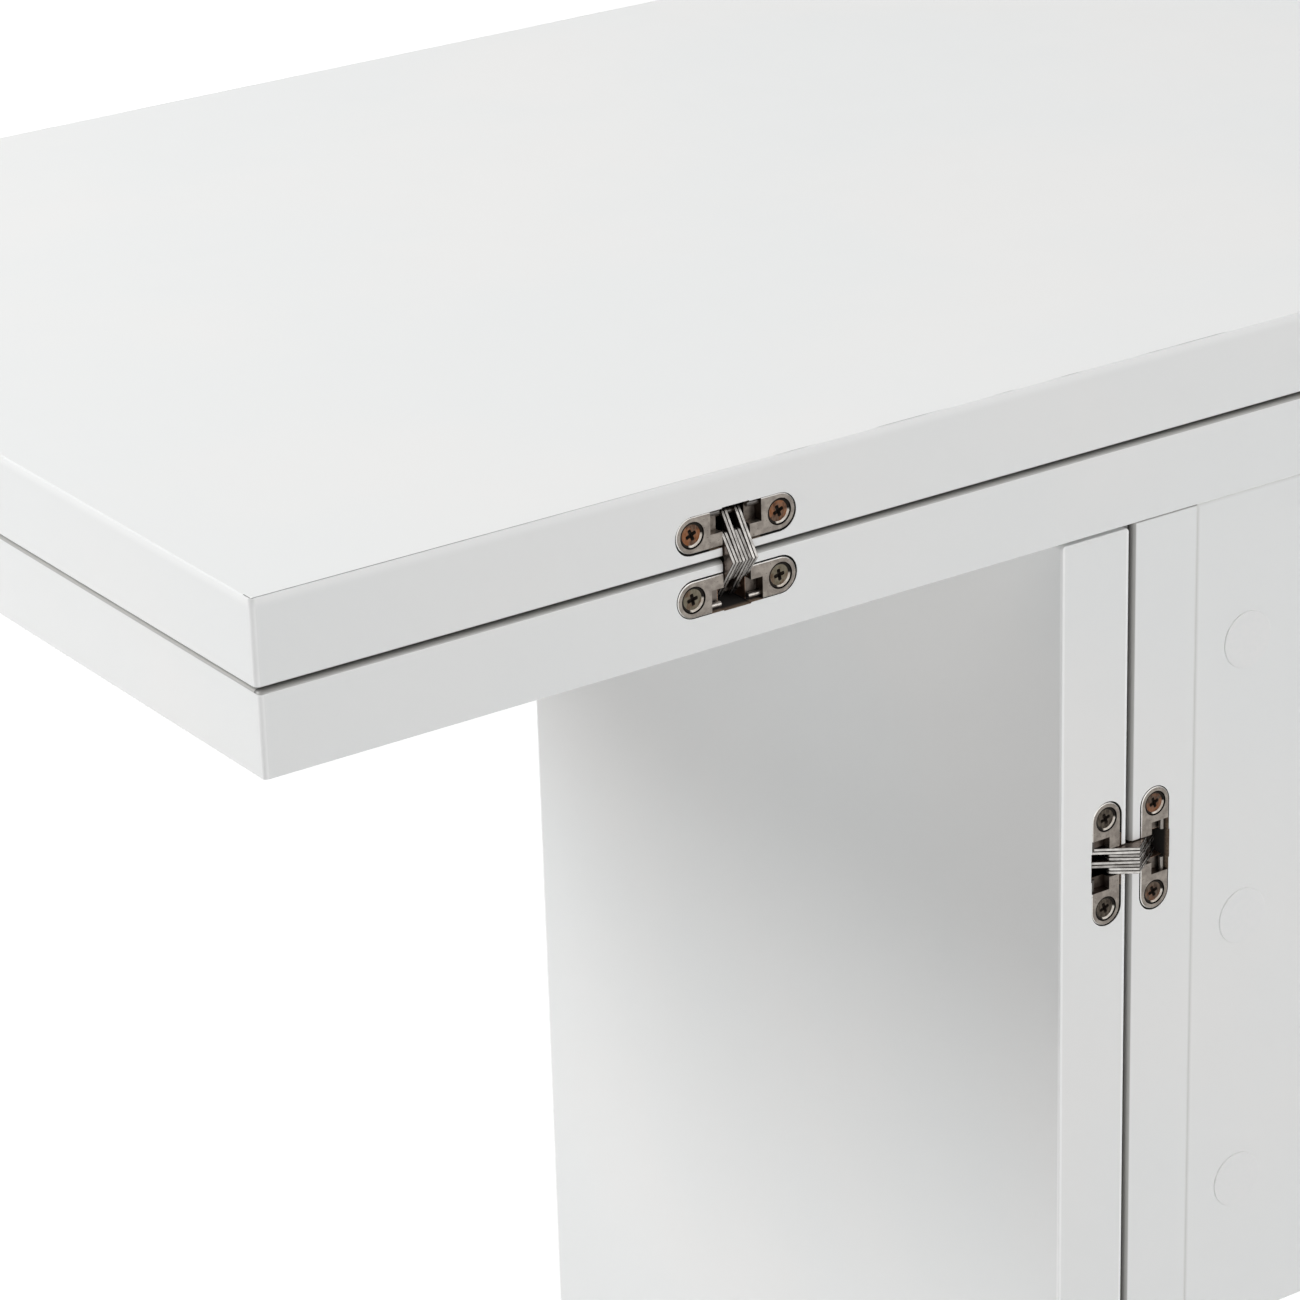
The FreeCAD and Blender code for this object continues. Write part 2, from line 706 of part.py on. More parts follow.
# ---------------------------------------------------------------- check and write
doc.recompute()
for thing in doc.Objects:
    if "Invalid" in thing.State or "Error" in thing.State:
        raise RuntimeError("%s could not be worked out: %s" % (thing.Name, thing.State))
for name, thing in NODES.items():
    shape = thing.Shape
    if shape.isNull() or not shape.isValid() or not shape.Solids:
        raise RuntimeError(name + " has no sound solid")
    shape.exportStep("parts/%s.step" % name)
    print("%-28s %2d solids %12.1f mm3" % (name, len(shape.Solids), shape.Volume))
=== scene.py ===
# %% [markdown]
# # A folding table in white lacquer
# The table is a console whose top is two equal leaves lying on each other. The upper leaf turns
# over to the front, and two leg panels swing out to carry it. Concealed hinges join the edges.
#
# The frame below holds every board and fitting at its true size. This lesson gives them their
# looks: lacquer with its seams and bare core, cast zinc, sheared steel strips, plated screws.
# Everything is in metres: X runs along the table, Y from front to back, Z up.

# %% Load the frame
import json
import math
import random

import bpy
from mathutils import Matrix, Vector


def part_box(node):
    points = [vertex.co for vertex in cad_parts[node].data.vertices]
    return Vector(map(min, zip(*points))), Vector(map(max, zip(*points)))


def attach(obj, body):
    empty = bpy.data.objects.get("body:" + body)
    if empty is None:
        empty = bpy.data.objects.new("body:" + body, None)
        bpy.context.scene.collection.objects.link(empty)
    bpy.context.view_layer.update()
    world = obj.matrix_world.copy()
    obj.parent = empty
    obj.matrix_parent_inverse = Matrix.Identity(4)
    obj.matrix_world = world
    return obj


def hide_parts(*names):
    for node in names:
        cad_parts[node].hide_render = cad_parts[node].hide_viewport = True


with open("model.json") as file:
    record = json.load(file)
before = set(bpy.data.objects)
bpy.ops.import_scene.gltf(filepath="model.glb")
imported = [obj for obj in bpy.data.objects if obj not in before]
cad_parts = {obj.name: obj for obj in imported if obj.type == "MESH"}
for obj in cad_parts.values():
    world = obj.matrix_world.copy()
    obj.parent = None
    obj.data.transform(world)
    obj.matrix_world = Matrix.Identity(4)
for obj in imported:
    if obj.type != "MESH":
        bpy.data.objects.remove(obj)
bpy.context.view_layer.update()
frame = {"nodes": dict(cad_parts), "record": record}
nodes = frame["nodes"]
bodies = frame["record"]["behaviour"]["bodies"]
MM = 0.001
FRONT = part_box("lower_leaf")[0].y

# %% [markdown]
# ## Camera
# A long lens stands above and to the left of the near corner. Its three axes are built from
# three angles: round the table, above the horizon, and a small roll.

# %% Camera
CAMERA_AT = Vector((-1.3283, -1.3577, 1.2682))
AROUND = math.radians(-34.19)
ABOVE = math.radians(22.69)
ROLL = math.radians(-1.72)
LENS = 134.16
SENSOR = 36
FARTHEST = 50


def camera_axes():
    """Right, up and backward directions of the camera."""
    back = Vector((
        math.sin(AROUND) * math.cos(ABOVE),
        -math.cos(AROUND) * math.cos(ABOVE),
        math.sin(ABOVE),
    ))
    level = (-back).cross(Vector((0, 0, 1))).normalized()
    upright = back.cross(level)
    right = level * math.cos(ROLL) + upright * math.sin(ROLL)
    up = upright * math.cos(ROLL) - level * math.sin(ROLL)
    return right, up, back


camera = bpy.data.objects.new("camera", bpy.data.cameras.new("camera"))
bpy.context.scene.collection.objects.link(camera)
camera.data.lens = LENS
camera.data.sensor_width = SENSOR
camera.data.clip_end = FARTHEST
camera.matrix_world = Matrix.Translation(CAMERA_AT) @ Matrix(camera_axes()).transposed().to_4x4()
bpy.context.scene.camera = camera
bpy.context.scene.view_settings.view_transform = "Standard"
print("camera looks along", [round(v, 3) for v in -camera_axes()[2]])

# %% [markdown]
# ## Small helpers for materials
# A material is a graph of nodes. One helper adds a node and fills its inputs, either with plain
# values or with the output sockets of other nodes. The others are short names for sums, ramps
# and mixes, so that a finish below reads like a recipe.


# %% Node helpers
def feed(tree, socket, value):
    """Gives an input a value, or links another node's output to it."""
    if isinstance(value, bpy.types.NodeSocket):
        tree.links.new(value, socket)
    else:
        socket.default_value = value


def add(tree, kind, inputs=None, **settings):
    """A node with its settings and inputs."""
    made = tree.nodes.new(kind)
    for name, value in settings.items():
        setattr(made, name, value)
    for name, value in (inputs or {}).items():
        feed(tree, made.inputs[name], value)
    return made


def maths(tree, operation, *terms):
    """The output of one math node."""
    return add(tree, "ShaderNodeMath", dict(enumerate(terms)), operation=operation).outputs[0]


def product(tree, first, second):
    """Two numbers multiplied; of two masks, the part that both cover."""
    return maths(tree, "MULTIPLY", first, second)


def opposite(tree, mask):
    """1 where a mask is 0, and 0 where it is 1."""
    return maths(tree, "SUBTRACT", 1.0, mask)


def vector_maths(tree, operation, *terms):
    """The vector output of one vector math node."""
    return add(tree, "ShaderNodeVectorMath", dict(enumerate(terms)), operation=operation).outputs[0]


def length_of(tree, vector):
    """How long a vector is."""
    return add(tree, "ShaderNodeVectorMath", {0: vector}, operation="LENGTH").outputs["Value"]


def split(tree, vector):
    """The three components of a vector."""
    return add(tree, "ShaderNodeSeparateXYZ", {"Vector": vector}).outputs


def object_place(tree):
    """Where a point lies in the object's own coordinates."""
    return add(tree, "ShaderNodeTexCoord").outputs["Object"]


def object_normal(tree):
    """Which way the surface faces: its normal's three components."""
    return split(tree, add(tree, "ShaderNodeTexCoord").outputs["Normal"])


def ramp_between(tree, value, low, high):
    """0 below low, 1 above high, smooth between."""
    given = {"Value": value, "From Min": low, "From Max": high}
    return add(tree, "ShaderNodeMapRange", given, interpolation_type="SMOOTHSTEP").outputs[0]


def between(tree, value, low, high, soft):
    """1 where the value lies between two limits, fading over a soft margin inside them."""
    rising = ramp_between(tree, value, low, low + soft)
    falling = ramp_between(tree, value, high - soft, high)
    return product(tree, rising, opposite(tree, falling))


def scaled(tree, value, low, high):
    """A mask from 0 to 1 turned into a number from low to high."""
    return add(tree, "ShaderNodeMapRange", {"Value": value, "To Min": low, "To Max": high}).outputs[0]


def mixed(tree, share, first, second):
    """Two colours mixed by a share from 0 to 1."""
    node = add(tree, "ShaderNodeMix", data_type="RGBA")
    for place, value in ((0, share), (6, first), (7, second)):
        feed(tree, node.inputs[place], value)
    return node.outputs[2]


def blended(tree, share, first, second):
    """Two numbers mixed by a share from 0 to 1."""
    return add(tree, "ShaderNodeMix", {0: share, 2: first, 3: second}).outputs[0]


def bumped(tree, height, distance, under=None):
    """A bump; another bump may lie under it."""
    given = {"Height": height, "Distance": distance}
    if under is not None:
        given["Normal"] = under
    return add(tree, "ShaderNodeBump", given).outputs[0]


def shade(red, green, blue):
    """An opaque colour."""
    return (red, green, blue, 1)


def new_material(name):
    """An empty material; gives the material, its tree and its shader."""
    material = bpy.data.materials.new(name)
    material.use_nodes = True
    return material, material.node_tree, material.node_tree.nodes["Principled BSDF"]


def dress(node, material):
    """Puts a material on a CAD node."""
    for slot in nodes[node].material_slots:
        slot.material = material


# %% [markdown]
# ## Shader node groups
# Some effects are needed by several finishes, so each is a node group that gives back a mask or
# a height. The first one is plain noise in object coordinates, cut to a mask between two levels.


# %% Group helper and noise mask
def new_group(name, inputs, outputs):
    """An empty shader group; gives the tree, its input sockets and its output sockets."""
    tree = bpy.data.node_groups.new(name, "ShaderNodeTree")
    for label, kind, value in inputs:
        socket = tree.interface.new_socket(label, in_out="INPUT", socket_type=kind)
        socket.default_value = value
    for label in outputs:
        tree.interface.new_socket(label, in_out="OUTPUT", socket_type="NodeSocketFloat")
    given = tree.nodes.new("NodeGroupInput").outputs
    return tree, given, tree.nodes.new("NodeGroupOutput").inputs


def use_group(tree, group, **inputs):
    """A group node in a tree, with its inputs given by name; returns its outputs."""
    made = add(tree, "ShaderNodeGroup", node_tree=group)
    for name, value in inputs.items():
        feed(tree, made.inputs[name], value)
    return made.outputs


cloud, given, result = new_group(
    "cloud",
    [("Scale", "NodeSocketFloat", 10.0), ("Detail", "NodeSocketFloat", 3.0),
     ("Low", "NodeSocketFloat", 0.4), ("High", "NodeSocketFloat", 0.6),
     ("Stretch", "NodeSocketVector", (1, 1, 1))],
    ["Mask", "Height"],
)
noise = add(cloud, "ShaderNodeTexNoise", {
    "Vector": vector_maths(cloud, "MULTIPLY", object_place(cloud), given["Stretch"]),
    "Scale": given["Scale"],
    "Detail": given["Detail"],
}).outputs["Fac"]
feed(cloud, result["Mask"], ramp_between(cloud, noise, given["Low"], given["High"]))
feed(cloud, result["Height"], noise)
print("group:", cloud.name)

# %% [markdown]
# The second group knows a board: its middle, its half sizes and the rounding of its edges. From
# these it measures how deep a point lies under the board's skin. A point deeper than the film
# of lacquer is bare core, which shows on the walls of a mortise or a drilled hole. It also finds
# the line where the facing of the flat side ends, just inside the edge, as a fine seam, how near
# the board's ends a point lies, and the rounded upright corners.

# %% Board group
FILM = 0.12 * MM
FILM_EDGE = 0.08 * MM
CORNER_FADE = 0.5 * MM
SEAM_INSET = 0.42 * MM
SEAM_WIDTH = 0.5 * MM
SEAM_STUB = 9 * MM
SEAM_OPEN = 40 * MM
SEAM_CLOSED = 220 * MM


def depth_under_skin(tree, past_flat, rounding):
    """How deep a point lies inside a box with rounded edges."""
    past = split(tree, past_flat)
    largest = maths(tree, "MAXIMUM", past[0], maths(tree, "MAXIMUM", past[1], past[2]))
    outside = length_of(tree, vector_maths(tree, "MAXIMUM", past_flat, (0, 0, 0)))
    reach = maths(tree, "ADD", outside, maths(tree, "MINIMUM", largest, 0.0))
    return maths(tree, "SUBTRACT", rounding, reach)


def seam_line(tree, to_edge):
    """The seam on a flat side: all along its long edges, and a short stub down each end."""
    long_line = maths(tree, "ABSOLUTE", maths(tree, "SUBTRACT", to_edge[1], SEAM_INSET))
    end_line = maths(tree, "ABSOLUTE", maths(tree, "SUBTRACT", to_edge[0], SEAM_INSET))
    past_stub = ramp_between(tree, to_edge[1], SEAM_STUB / 2, SEAM_STUB)
    nearest = maths(tree, "MINIMUM", long_line, maths(tree, "ADD", end_line, past_stub))
    line = opposite(tree, ramp_between(tree, nearest, SEAM_WIDTH / 4, SEAM_WIDTH / 2))
    return product(tree, line, maths(tree, "LESS_THAN", to_edge[2], FILM))


board_skin, given, result = new_group(
    "board_skin",
    [("Middle", "NodeSocketVector", (0, 0, 0)), ("Half", "NodeSocketVector", (1, 1, 1)),
     ("Round", "NodeSocketFloat", 1.5 * MM)],
    ["Core", "Seam", "Corner", "Rounded"],
)
off_middle = vector_maths(board_skin, "SUBTRACT", object_place(board_skin), given["Middle"])
from_middle = vector_maths(board_skin, "ABSOLUTE", off_middle)
rounding = add(board_skin, "ShaderNodeCombineXYZ", {axis: given["Round"] for axis in "XYZ"}).outputs[0]
flat_half = vector_maths(board_skin, "SUBTRACT", given["Half"], rounding)
past_flat = vector_maths(board_skin, "SUBTRACT", from_middle, flat_half)
past = split(board_skin, past_flat)
past_both = maths(board_skin, "MINIMUM", past[0], past[1])
to_edge = split(board_skin, vector_maths(board_skin, "SUBTRACT", given["Half"], from_middle))
depth = depth_under_skin(board_skin, past_flat, given["Round"])
feed(board_skin, result["Core"], ramp_between(board_skin, depth, FILM, FILM + FILM_EDGE))
feed(board_skin, result["Seam"], seam_line(board_skin, to_edge))
feed(board_skin, result["Corner"], opposite(
    board_skin, ramp_between(board_skin, to_edge[0], SEAM_OPEN, SEAM_CLOSED)))
feed(board_skin, result["Rounded"], ramp_between(board_skin, past_both, 0.0, CORNER_FADE))
print("group:", board_skin.name)

# %% [markdown]
# ## Where a point lies in a hinge
# Three hinges sit in a row along each folding line, always at the same spacing. The third group
# turns a point into places on the nearest hinge: how far along the row, how far behind the
# board's edge and how far from the nearer screw. With these a finish can paint shade into the
# ring round a screw or the depth of a channel, on every hinge alike.

# %% Hinge group
PLATE_LENGTH = 44.8 * MM
SCREW_PITCH = 32.9 * MM

hinge_place, given, result = new_group(
    "hinge_place",
    [("Middle", "NodeSocketVector", (0, 0, 0)), ("Spacing", "NodeSocketFloat", 0.5),
     ("Upright", "NodeSocketFloat", 0.0)],
    ["Along", "Depth", "Screw"],
)
off = split(hinge_place, vector_maths(hinge_place, "SUBTRACT", object_place(hinge_place), given["Middle"]))
in_row = blended(hinge_place, given["Upright"], off[0], off[2])
across = blended(hinge_place, given["Upright"], off[2], off[0])
half_spacing = maths(hinge_place, "DIVIDE", given["Spacing"], 2.0)
other_side = product(hinge_place, half_spacing, -1.0)
along = maths(hinge_place, "ABSOLUTE", maths(hinge_place, "WRAP", in_row, half_spacing, other_side))
past_screw = maths(hinge_place, "SUBTRACT", along, SCREW_PITCH / 2)
to_screw = add(hinge_place, "ShaderNodeCombineXYZ", {"X": past_screw, "Y": across}).outputs[0]
feed(hinge_place, result["Along"], along)
feed(hinge_place, result["Depth"], off[1])
feed(hinge_place, result["Screw"], length_of(hinge_place, to_screw))


def hinge_row(half):
    """Middle of a row of three hinge halves, their spacing and whether the row stands upright."""
    low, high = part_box(half + "_plates")
    upright = "leaf" not in half
    axis = 2 if upright else 0
    middle = (low + high) / 2
    middle.y = FRONT
    return middle, (high[axis] - low[axis] - PLATE_LENGTH) / 2, upright


def on_hinge(tree, half):
    """The hinge group, set to one row of hinge halves."""
    middle, spacing, upright = hinge_row(half)
    return use_group(tree, hinge_place, Middle=middle, Spacing=spacing, Upright=float(upright))


HALVES = sorted(node[:-len("_plates")] for node in nodes if node.endswith("_plates"))
for half in HALVES:
    middle, spacing, upright = hinge_row(half)
    print(half, [round(v, 4) for v in middle], "spacing", round(spacing, 4), "upright", upright)

# %% [markdown]
# ## The boards and their colours
# Two tables say which row of hinge halves sits in each board, and which side of a board meets
# the next one. The whites follow: plain, warm, a painted highlight under the top edge of the
# upper leaf, a painted highlight on the rounded corners of the leaves and swing legs, and painted
# shade on those of the fixed legs and the panel. The core is light brown fibreboard.

# %% Boards and colours
HINGED_BOARDS = {"upper_leaf": "leaf_hinge_upper", "lower_leaf": "leaf_hinge_lower"}
# each meeting side has an axis, and 0 for the board's low or 1 for its high face
MEETING_SIDE = {"upper_leaf": (2, 0), "lower_leaf": (2, 1)}
for side, inner in (("left", 0), ("right", 1)):
    HINGED_BOARDS["fixed_leg_" + side] = side + "_hinge_fixed"
    HINGED_BOARDS["swing_leg_" + side] = side + "_hinge_swing"
    MEETING_SIDE["fixed_leg_" + side] = (0, inner)
    MEETING_SIDE["swing_leg_" + side] = (0, 1 - inner)

WHITE = shade(0.832, 0.842, 0.838)
WHITE_WARM = shade(0.85, 0.848, 0.838)
# painted highlight on rounded upright corners
WHITE_CORNER_HIGHLIGHT = shade(0.97, 0.975, 0.97)
# painted highlight along the top of the upper leaf's front face
WHITE_EDGE_HIGHLIGHT = shade(0.91, 0.915, 0.91)
# painted shade on the rounded corners of the fixed legs and the panel
WHITE_CORNER_SHADE = shade(0.76, 0.76, 0.75)
SEAM_GREY = shade(0.16, 0.16, 0.155)
CORE_BROWN = shade(0.34, 0.25, 0.18)
CORE_TORN = shade(0.17, 0.115, 0.08)
# near black, painted shade in the depth of a mortise and beside a flange
CORE_SHADE = shade(0.008, 0.006, 0.005)
print("boards with hinges:", len(HINGED_BOARDS))

# %% [markdown]
# ## Grey rims and edges of painted shade
# Where two boards meet, a narrow grey rim of painted shade lies on the meeting side, darkest a
# little behind the front edge, and narrower at the two ends. Painted shade also lies along the
# top of the boards that stand under the leaf, and where the panel's ends meet the legs.

# %% Grey rims and edges of painted shade
# grey and near black of the painted shade where two boards meet
JOINT_SHADE_GREY = shade(0.42, 0.415, 0.40)
JOINT_SHADE_DARK = shade(0.10, 0.098, 0.092)
JOINT_REACH = 1.7 * MM
JOINT_WIDTH = 3.4 * MM
END_WIDTH = 1.4 * MM
FADE_FROM = 0.9
DARK_FROM = 1.2 * MM
DARK_FULL = 3 * MM
TURNED_IN = (0.2, 0.4)
# painted shade under the leaf's edge, and where the panel meets the legs
EDGE_SHADE_PALE = shade(0.60, 0.60, 0.58)
EDGE_SHADE_GREY = shade(0.26, 0.255, 0.245)
EDGE_SHADE_WIDTH = {"stretcher": 2.2 * MM, "fixed_leg_left": 0.6 * MM, "fixed_leg_right": 0.6 * MM}


def behind_front(tree, start, full):
    """0 at the front edges, 1 at some depth behind them."""
    y = split(tree, object_place(tree))[1]
    return ramp_between(tree, y, FRONT + start, FRONT + full)


def to_nearer_end(tree, place, node, axis):
    """How far a point lies inside the nearer end of a board, along one axis."""
    low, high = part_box(node)
    from_middle = maths(tree, "SUBTRACT", place[axis], (low[axis] + high[axis]) / 2)
    return maths(tree, "SUBTRACT", (high[axis] - low[axis]) / 2, maths(tree, "ABSOLUTE", from_middle))


def in_joint(tree, node):
    """Painted shade on a board's meeting side: the grey rim's mask, and its part behind the front edge."""
    axis, end = MEETING_SIDE[node]
    length_axis = 2 - axis
    place = split(tree, object_place(tree))
    off_side = maths(tree, "SUBTRACT", place[axis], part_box(node)[end][axis])
    near_side = maths(tree, "LESS_THAN", maths(tree, "ABSOLUTE", off_side), JOINT_REACH)
    turned_in = ramp_between(tree, maths(tree, "ABSOLUTE", object_normal(tree)[axis]), *TURNED_IN)
    from_end = to_nearer_end(tree, place, node, length_axis)
    at_front = opposite(tree, behind_front(tree, FADE_FROM * JOINT_WIDTH, JOINT_WIDTH))
    at_end = opposite(tree, ramp_between(tree, from_end, FADE_FROM * END_WIDTH, END_WIDTH))
    rim = maths(tree, "MAXIMUM", at_front, at_end)
    return product(tree, product(tree, near_side, turned_in), rim), at_front


def shaded_edge(tree, node):
    """Painted shade along the top of a board that stands under the leaf, and along the panel's two ends.
    """
    place = split(tree, object_place(tree))
    inwards = maths(tree, "SUBTRACT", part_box(node)[1].z, place[2])
    if node == "stretcher":
        inwards = maths(tree, "MINIMUM", inwards, to_nearer_end(tree, place, node, 0))
    return opposite(tree, ramp_between(tree, inwards, 0.0, EDGE_SHADE_WIDTH[node]))


# %% [markdown]
# ## White lacquer
# The boards are sprayed with a satin lacquer. Close up it has a faint orange peel, and it varies
# a little in tone and gloss. The core behind it darkens fast in the depth of a mortise, as painted
# shade. Every board gets its own material, because the board group needs that board's middle and
# size. Only the upper leaf shows its seam, opened most near the corners and broken further along.

# %% Lacquer
# how far below the upper leaf's top the painted highlight reaches
HIGHLIGHT_FROM = 4 * MM
HIGHLIGHT_FULL = 0.5 * MM
HIGHLIGHT_STOP = 0.2 * MM
CORE_LIT = 0.8 * MM
CORE_DARK = 3.2 * MM
CORE_ROUGH = 0.9
SHELF = 19.3 * MM
SEAM_BROKEN = 0.6
SEAM_STRENGTH = {"upper_leaf": 0.95}


def edge_highlight(tree, node):
    """The upper part of a leaf's edge, lightened towards the top as a painted highlight."""
    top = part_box(node)[1].z
    height = split(tree, object_place(tree))[2]
    rising = ramp_between(tree, height, top - HIGHLIGHT_FROM, top - HIGHLIGHT_FULL)
    return product(tree, rising, maths(tree, "LESS_THAN", height, top - HIGHLIGHT_STOP))


def sprayed_white(tree, node, skin):
    """The lacquer's colour: its tone, then painted highlight and shade on corners and edges, and grey
    rims.
    """
    tone = use_group(tree, cloud, Scale=7.0, Low=0.35, High=0.65)
    white = mixed(tree, tone["Mask"], WHITE, WHITE_WARM)
    # rounded corners: painted shade on the fixed legs and the panel, a painted highlight on the other
    # boards
    white = mixed(tree, skin["Rounded"], white, WHITE_CORNER_SHADE if node in EDGE_SHADE_WIDTH else WHITE_CORNER_HIGHLIGHT)
    # painted shade along the top, and along the panel's ends
    if node in EDGE_SHADE_WIDTH:
        shade_tone = EDGE_SHADE_PALE if node == "stretcher" else EDGE_SHADE_GREY
        white = mixed(tree, shaded_edge(tree, node), white, shade_tone)
    # painted highlight along the top of the front face
    if node == "upper_leaf":
        white = mixed(tree, edge_highlight(tree, node), white, WHITE_EDGE_HIGHLIGHT)
    if node in MEETING_SIDE:
        # grey rim of painted shade, darker behind the front edge
        rim, at_front = in_joint(tree, node)
        inner = product(tree, at_front, behind_front(tree, DARK_FROM, DARK_FULL))
        white = mixed(tree, rim, white, mixed(tree, inner, JOINT_SHADE_GREY, JOINT_SHADE_DARK))
    return white


def bare_core(tree, node):
    """Fibreboard: brown at the mouth of a mortise, with painted shade in its depth and beside a hinge's
    flange.
    """
    fibre = use_group(tree, cloud, Scale=1400.0, Low=0.3, High=0.7)
    torn = mixed(tree, fibre["Mask"], CORE_TORN, CORE_BROWN)
    # painted shade deeper in the mortise
    core = mixed(tree, behind_front(tree, CORE_LIT, CORE_DARK), torn, CORE_SHADE)
    if node not in HINGED_BOARDS:
        return core
    # painted shade beside a hinge's flange
    beside = maths(tree, "GREATER_THAN", on_hinge(tree, HINGED_BOARDS[node])["Along"], SHELF / 2)
    return mixed(tree, beside, core, CORE_SHADE)


def lacquer(node, rounding):
    """White satin lacquer on one board, with its seam and its bare core."""
    low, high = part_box(node)
    material, tree, shader = new_material("lacquer_" + node)
    skin = use_group(tree, board_skin, Middle=(low + high) / 2, Half=(high - low) / 2, Round=rounding)
    patches = use_group(tree, cloud, Scale=45.0, Low=0.3, High=0.7)
    broken = use_group(tree, cloud, Scale=31.0, Low=0.45, High=0.62)
    peel = use_group(tree, cloud, Scale=520.0, Detail=2.0)
    opened = maths(tree, "MAXIMUM", product(tree, broken["Mask"], SEAM_BROKEN), skin["Corner"])
    seam = product(tree, skin["Seam"], product(tree, opened, SEAM_STRENGTH.get(node, 0.0)))
    film = mixed(tree, seam, sprayed_white(tree, node, skin), SEAM_GREY)
    feed(tree, shader.inputs["Base Color"], mixed(tree, skin["Core"], film, bare_core(tree, node)))
    satin = scaled(tree, patches["Mask"], 0.33, 0.38)
    feed(tree, shader.inputs["Roughness"], blended(tree, skin["Core"], satin, CORE_ROUGH))
    surface = bumped(tree, peel["Height"], 0.015 * MM)
    surface = bumped(tree, opposite(tree, seam), 0.1 * MM, under=surface)
    feed(tree, shader.inputs["Normal"], surface)
    return material


# the widest rounding of each board in millimetres, so that no rounded edge is taken for bare core
WIDEST = {"upper_leaf": 1.8, "lower_leaf": 1.8, "stretcher": 0.4}
for side in ("left", "right"):
    WIDEST["fixed_leg_" + side] = 1.5
    WIDEST["swing_leg_" + side] = 1.3
for node, rounding in WIDEST.items():
    dress(node, lacquer(node, rounding * MM))
print("boards dressed:", len(WIDEST))

# %% [markdown]
# ## Zinc castings
# The hinge halves are die-cast zinc in satin nickel. The skin is grainy and a little patchy, and
# the bevel round the flange carries a painted highlight. The hollows carry painted shade: the shelf
# under the links and its end walls are darker, and the ring round a screw and the flange's side
# are black. The channel where the links run is brown in the lower and fixed halves, and black, as
# painted shade, in the others.

# %% Cast zinc
ZINC = shade(0.195, 0.172, 0.151)
ZINC_PALE = shade(0.272, 0.244, 0.215)
# painted highlight on the bevel round the flange
ZINC_BEVEL_HIGHLIGHT = shade(0.72, 0.70, 0.67)
# grime in the pits, and painted shade on the shelf and its end walls
ZINC_GRIME_AND_SHADE = shade(0.035, 0.022, 0.016)
ZINC_BROWN = shade(0.34, 0.215, 0.15)
# black of painted shade in the narrow gaps and the channel
ZINC_SHADE_BLACK = shade(0.008, 0.007, 0.006)
CHANNEL = 10.4 * MM
SEAT_RADIUS = 4.45 * MM
SHELF_DEPTH = 3.4 * MM
FLANGE_BEVEL = 0.25 * MM
WALL = 0.3 * MM
EASE = 0.1 * MM
PIT_GRIME = 0.7
# shares of painted shade on the end walls and the shelf, darker in the swinging halves
WALL_SHADE = 0.9
SHELF_SHADE = 0.5
SWING_SHELF_SHADE = 0.75


def casting_skin(tree, blotch):
    """Two tones of nickel, a painted highlight on the bevel, and pits that hold grime."""
    pits = use_group(tree, cloud, Scale=1500.0, Low=0.60, High=0.72)
    # 1 on the flange, which looks out of the board's edge, and 0 on its side walls
    facing_out = product(tree, object_normal(tree)[1], -1.0)
    plate = mixed(tree, blotch["Mask"], ZINC, ZINC_PALE)
    # the bevel between flange and side wall takes the painted highlight
    plate = mixed(tree, between(tree, facing_out, 0.55, 0.85, 0.1), plate, ZINC_BEVEL_HIGHLIGHT)
    return mixed(tree, product(tree, pits["Mask"], PIT_GRIME), plate, ZINC_GRIME_AND_SHADE)


def paint_shade_in_hollows(tree, half, plate):
    """Lays painted shade, and the brown of some channels, over a casting's skin, one hollow after the
    other.
    """
    spot = on_hinge(tree, half)
    along, depth = spot["Along"], spot["Depth"]
    on_shelf = ramp_between(tree, depth, 1.0 * MM, SHELF_DEPTH)
    below_face = ramp_between(tree, depth, EASE, 4 * EASE)
    end_wall = between(tree, along, SHELF / 2 - WALL, SHELF / 2 + WALL, EASE)
    in_channel = maths(tree, "LESS_THAN", along, CHANNEL / 2 + EASE)
    in_channel = product(tree, in_channel, ramp_between(tree, depth, 0.6 * MM, 2.0 * MM))
    flange_side = maths(tree, "GREATER_THAN", along, SHELF / 2 + WALL)
    flange_side = product(tree, flange_side, ramp_between(tree, depth, FLANGE_BEVEL, 2 * FLANGE_BEVEL))
    at_screw = maths(tree, "LESS_THAN", spot["Screw"], SEAT_RADIUS + EASE)
    shelf_shade_share = SWING_SHELF_SHADE if "hinge_swing" in half else SHELF_SHADE
    channel_colour = ZINC_BROWN if half.endswith(("lower", "fixed")) else ZINC_SHADE_BLACK
    # painted shade in each hollow: shelf, end walls, channel, flange's side and the ring round each screw
    layers = (
        (product(tree, on_shelf, shelf_shade_share), ZINC_GRIME_AND_SHADE),
        (product(tree, end_wall, product(tree, below_face, WALL_SHADE)), ZINC_GRIME_AND_SHADE),
        (in_channel, channel_colour),
        (flange_side, ZINC_SHADE_BLACK),
        (product(tree, at_screw, below_face), ZINC_SHADE_BLACK),
    )
    for mask, colour in layers:
        plate = mixed(tree, mask, plate, colour)
    return plate


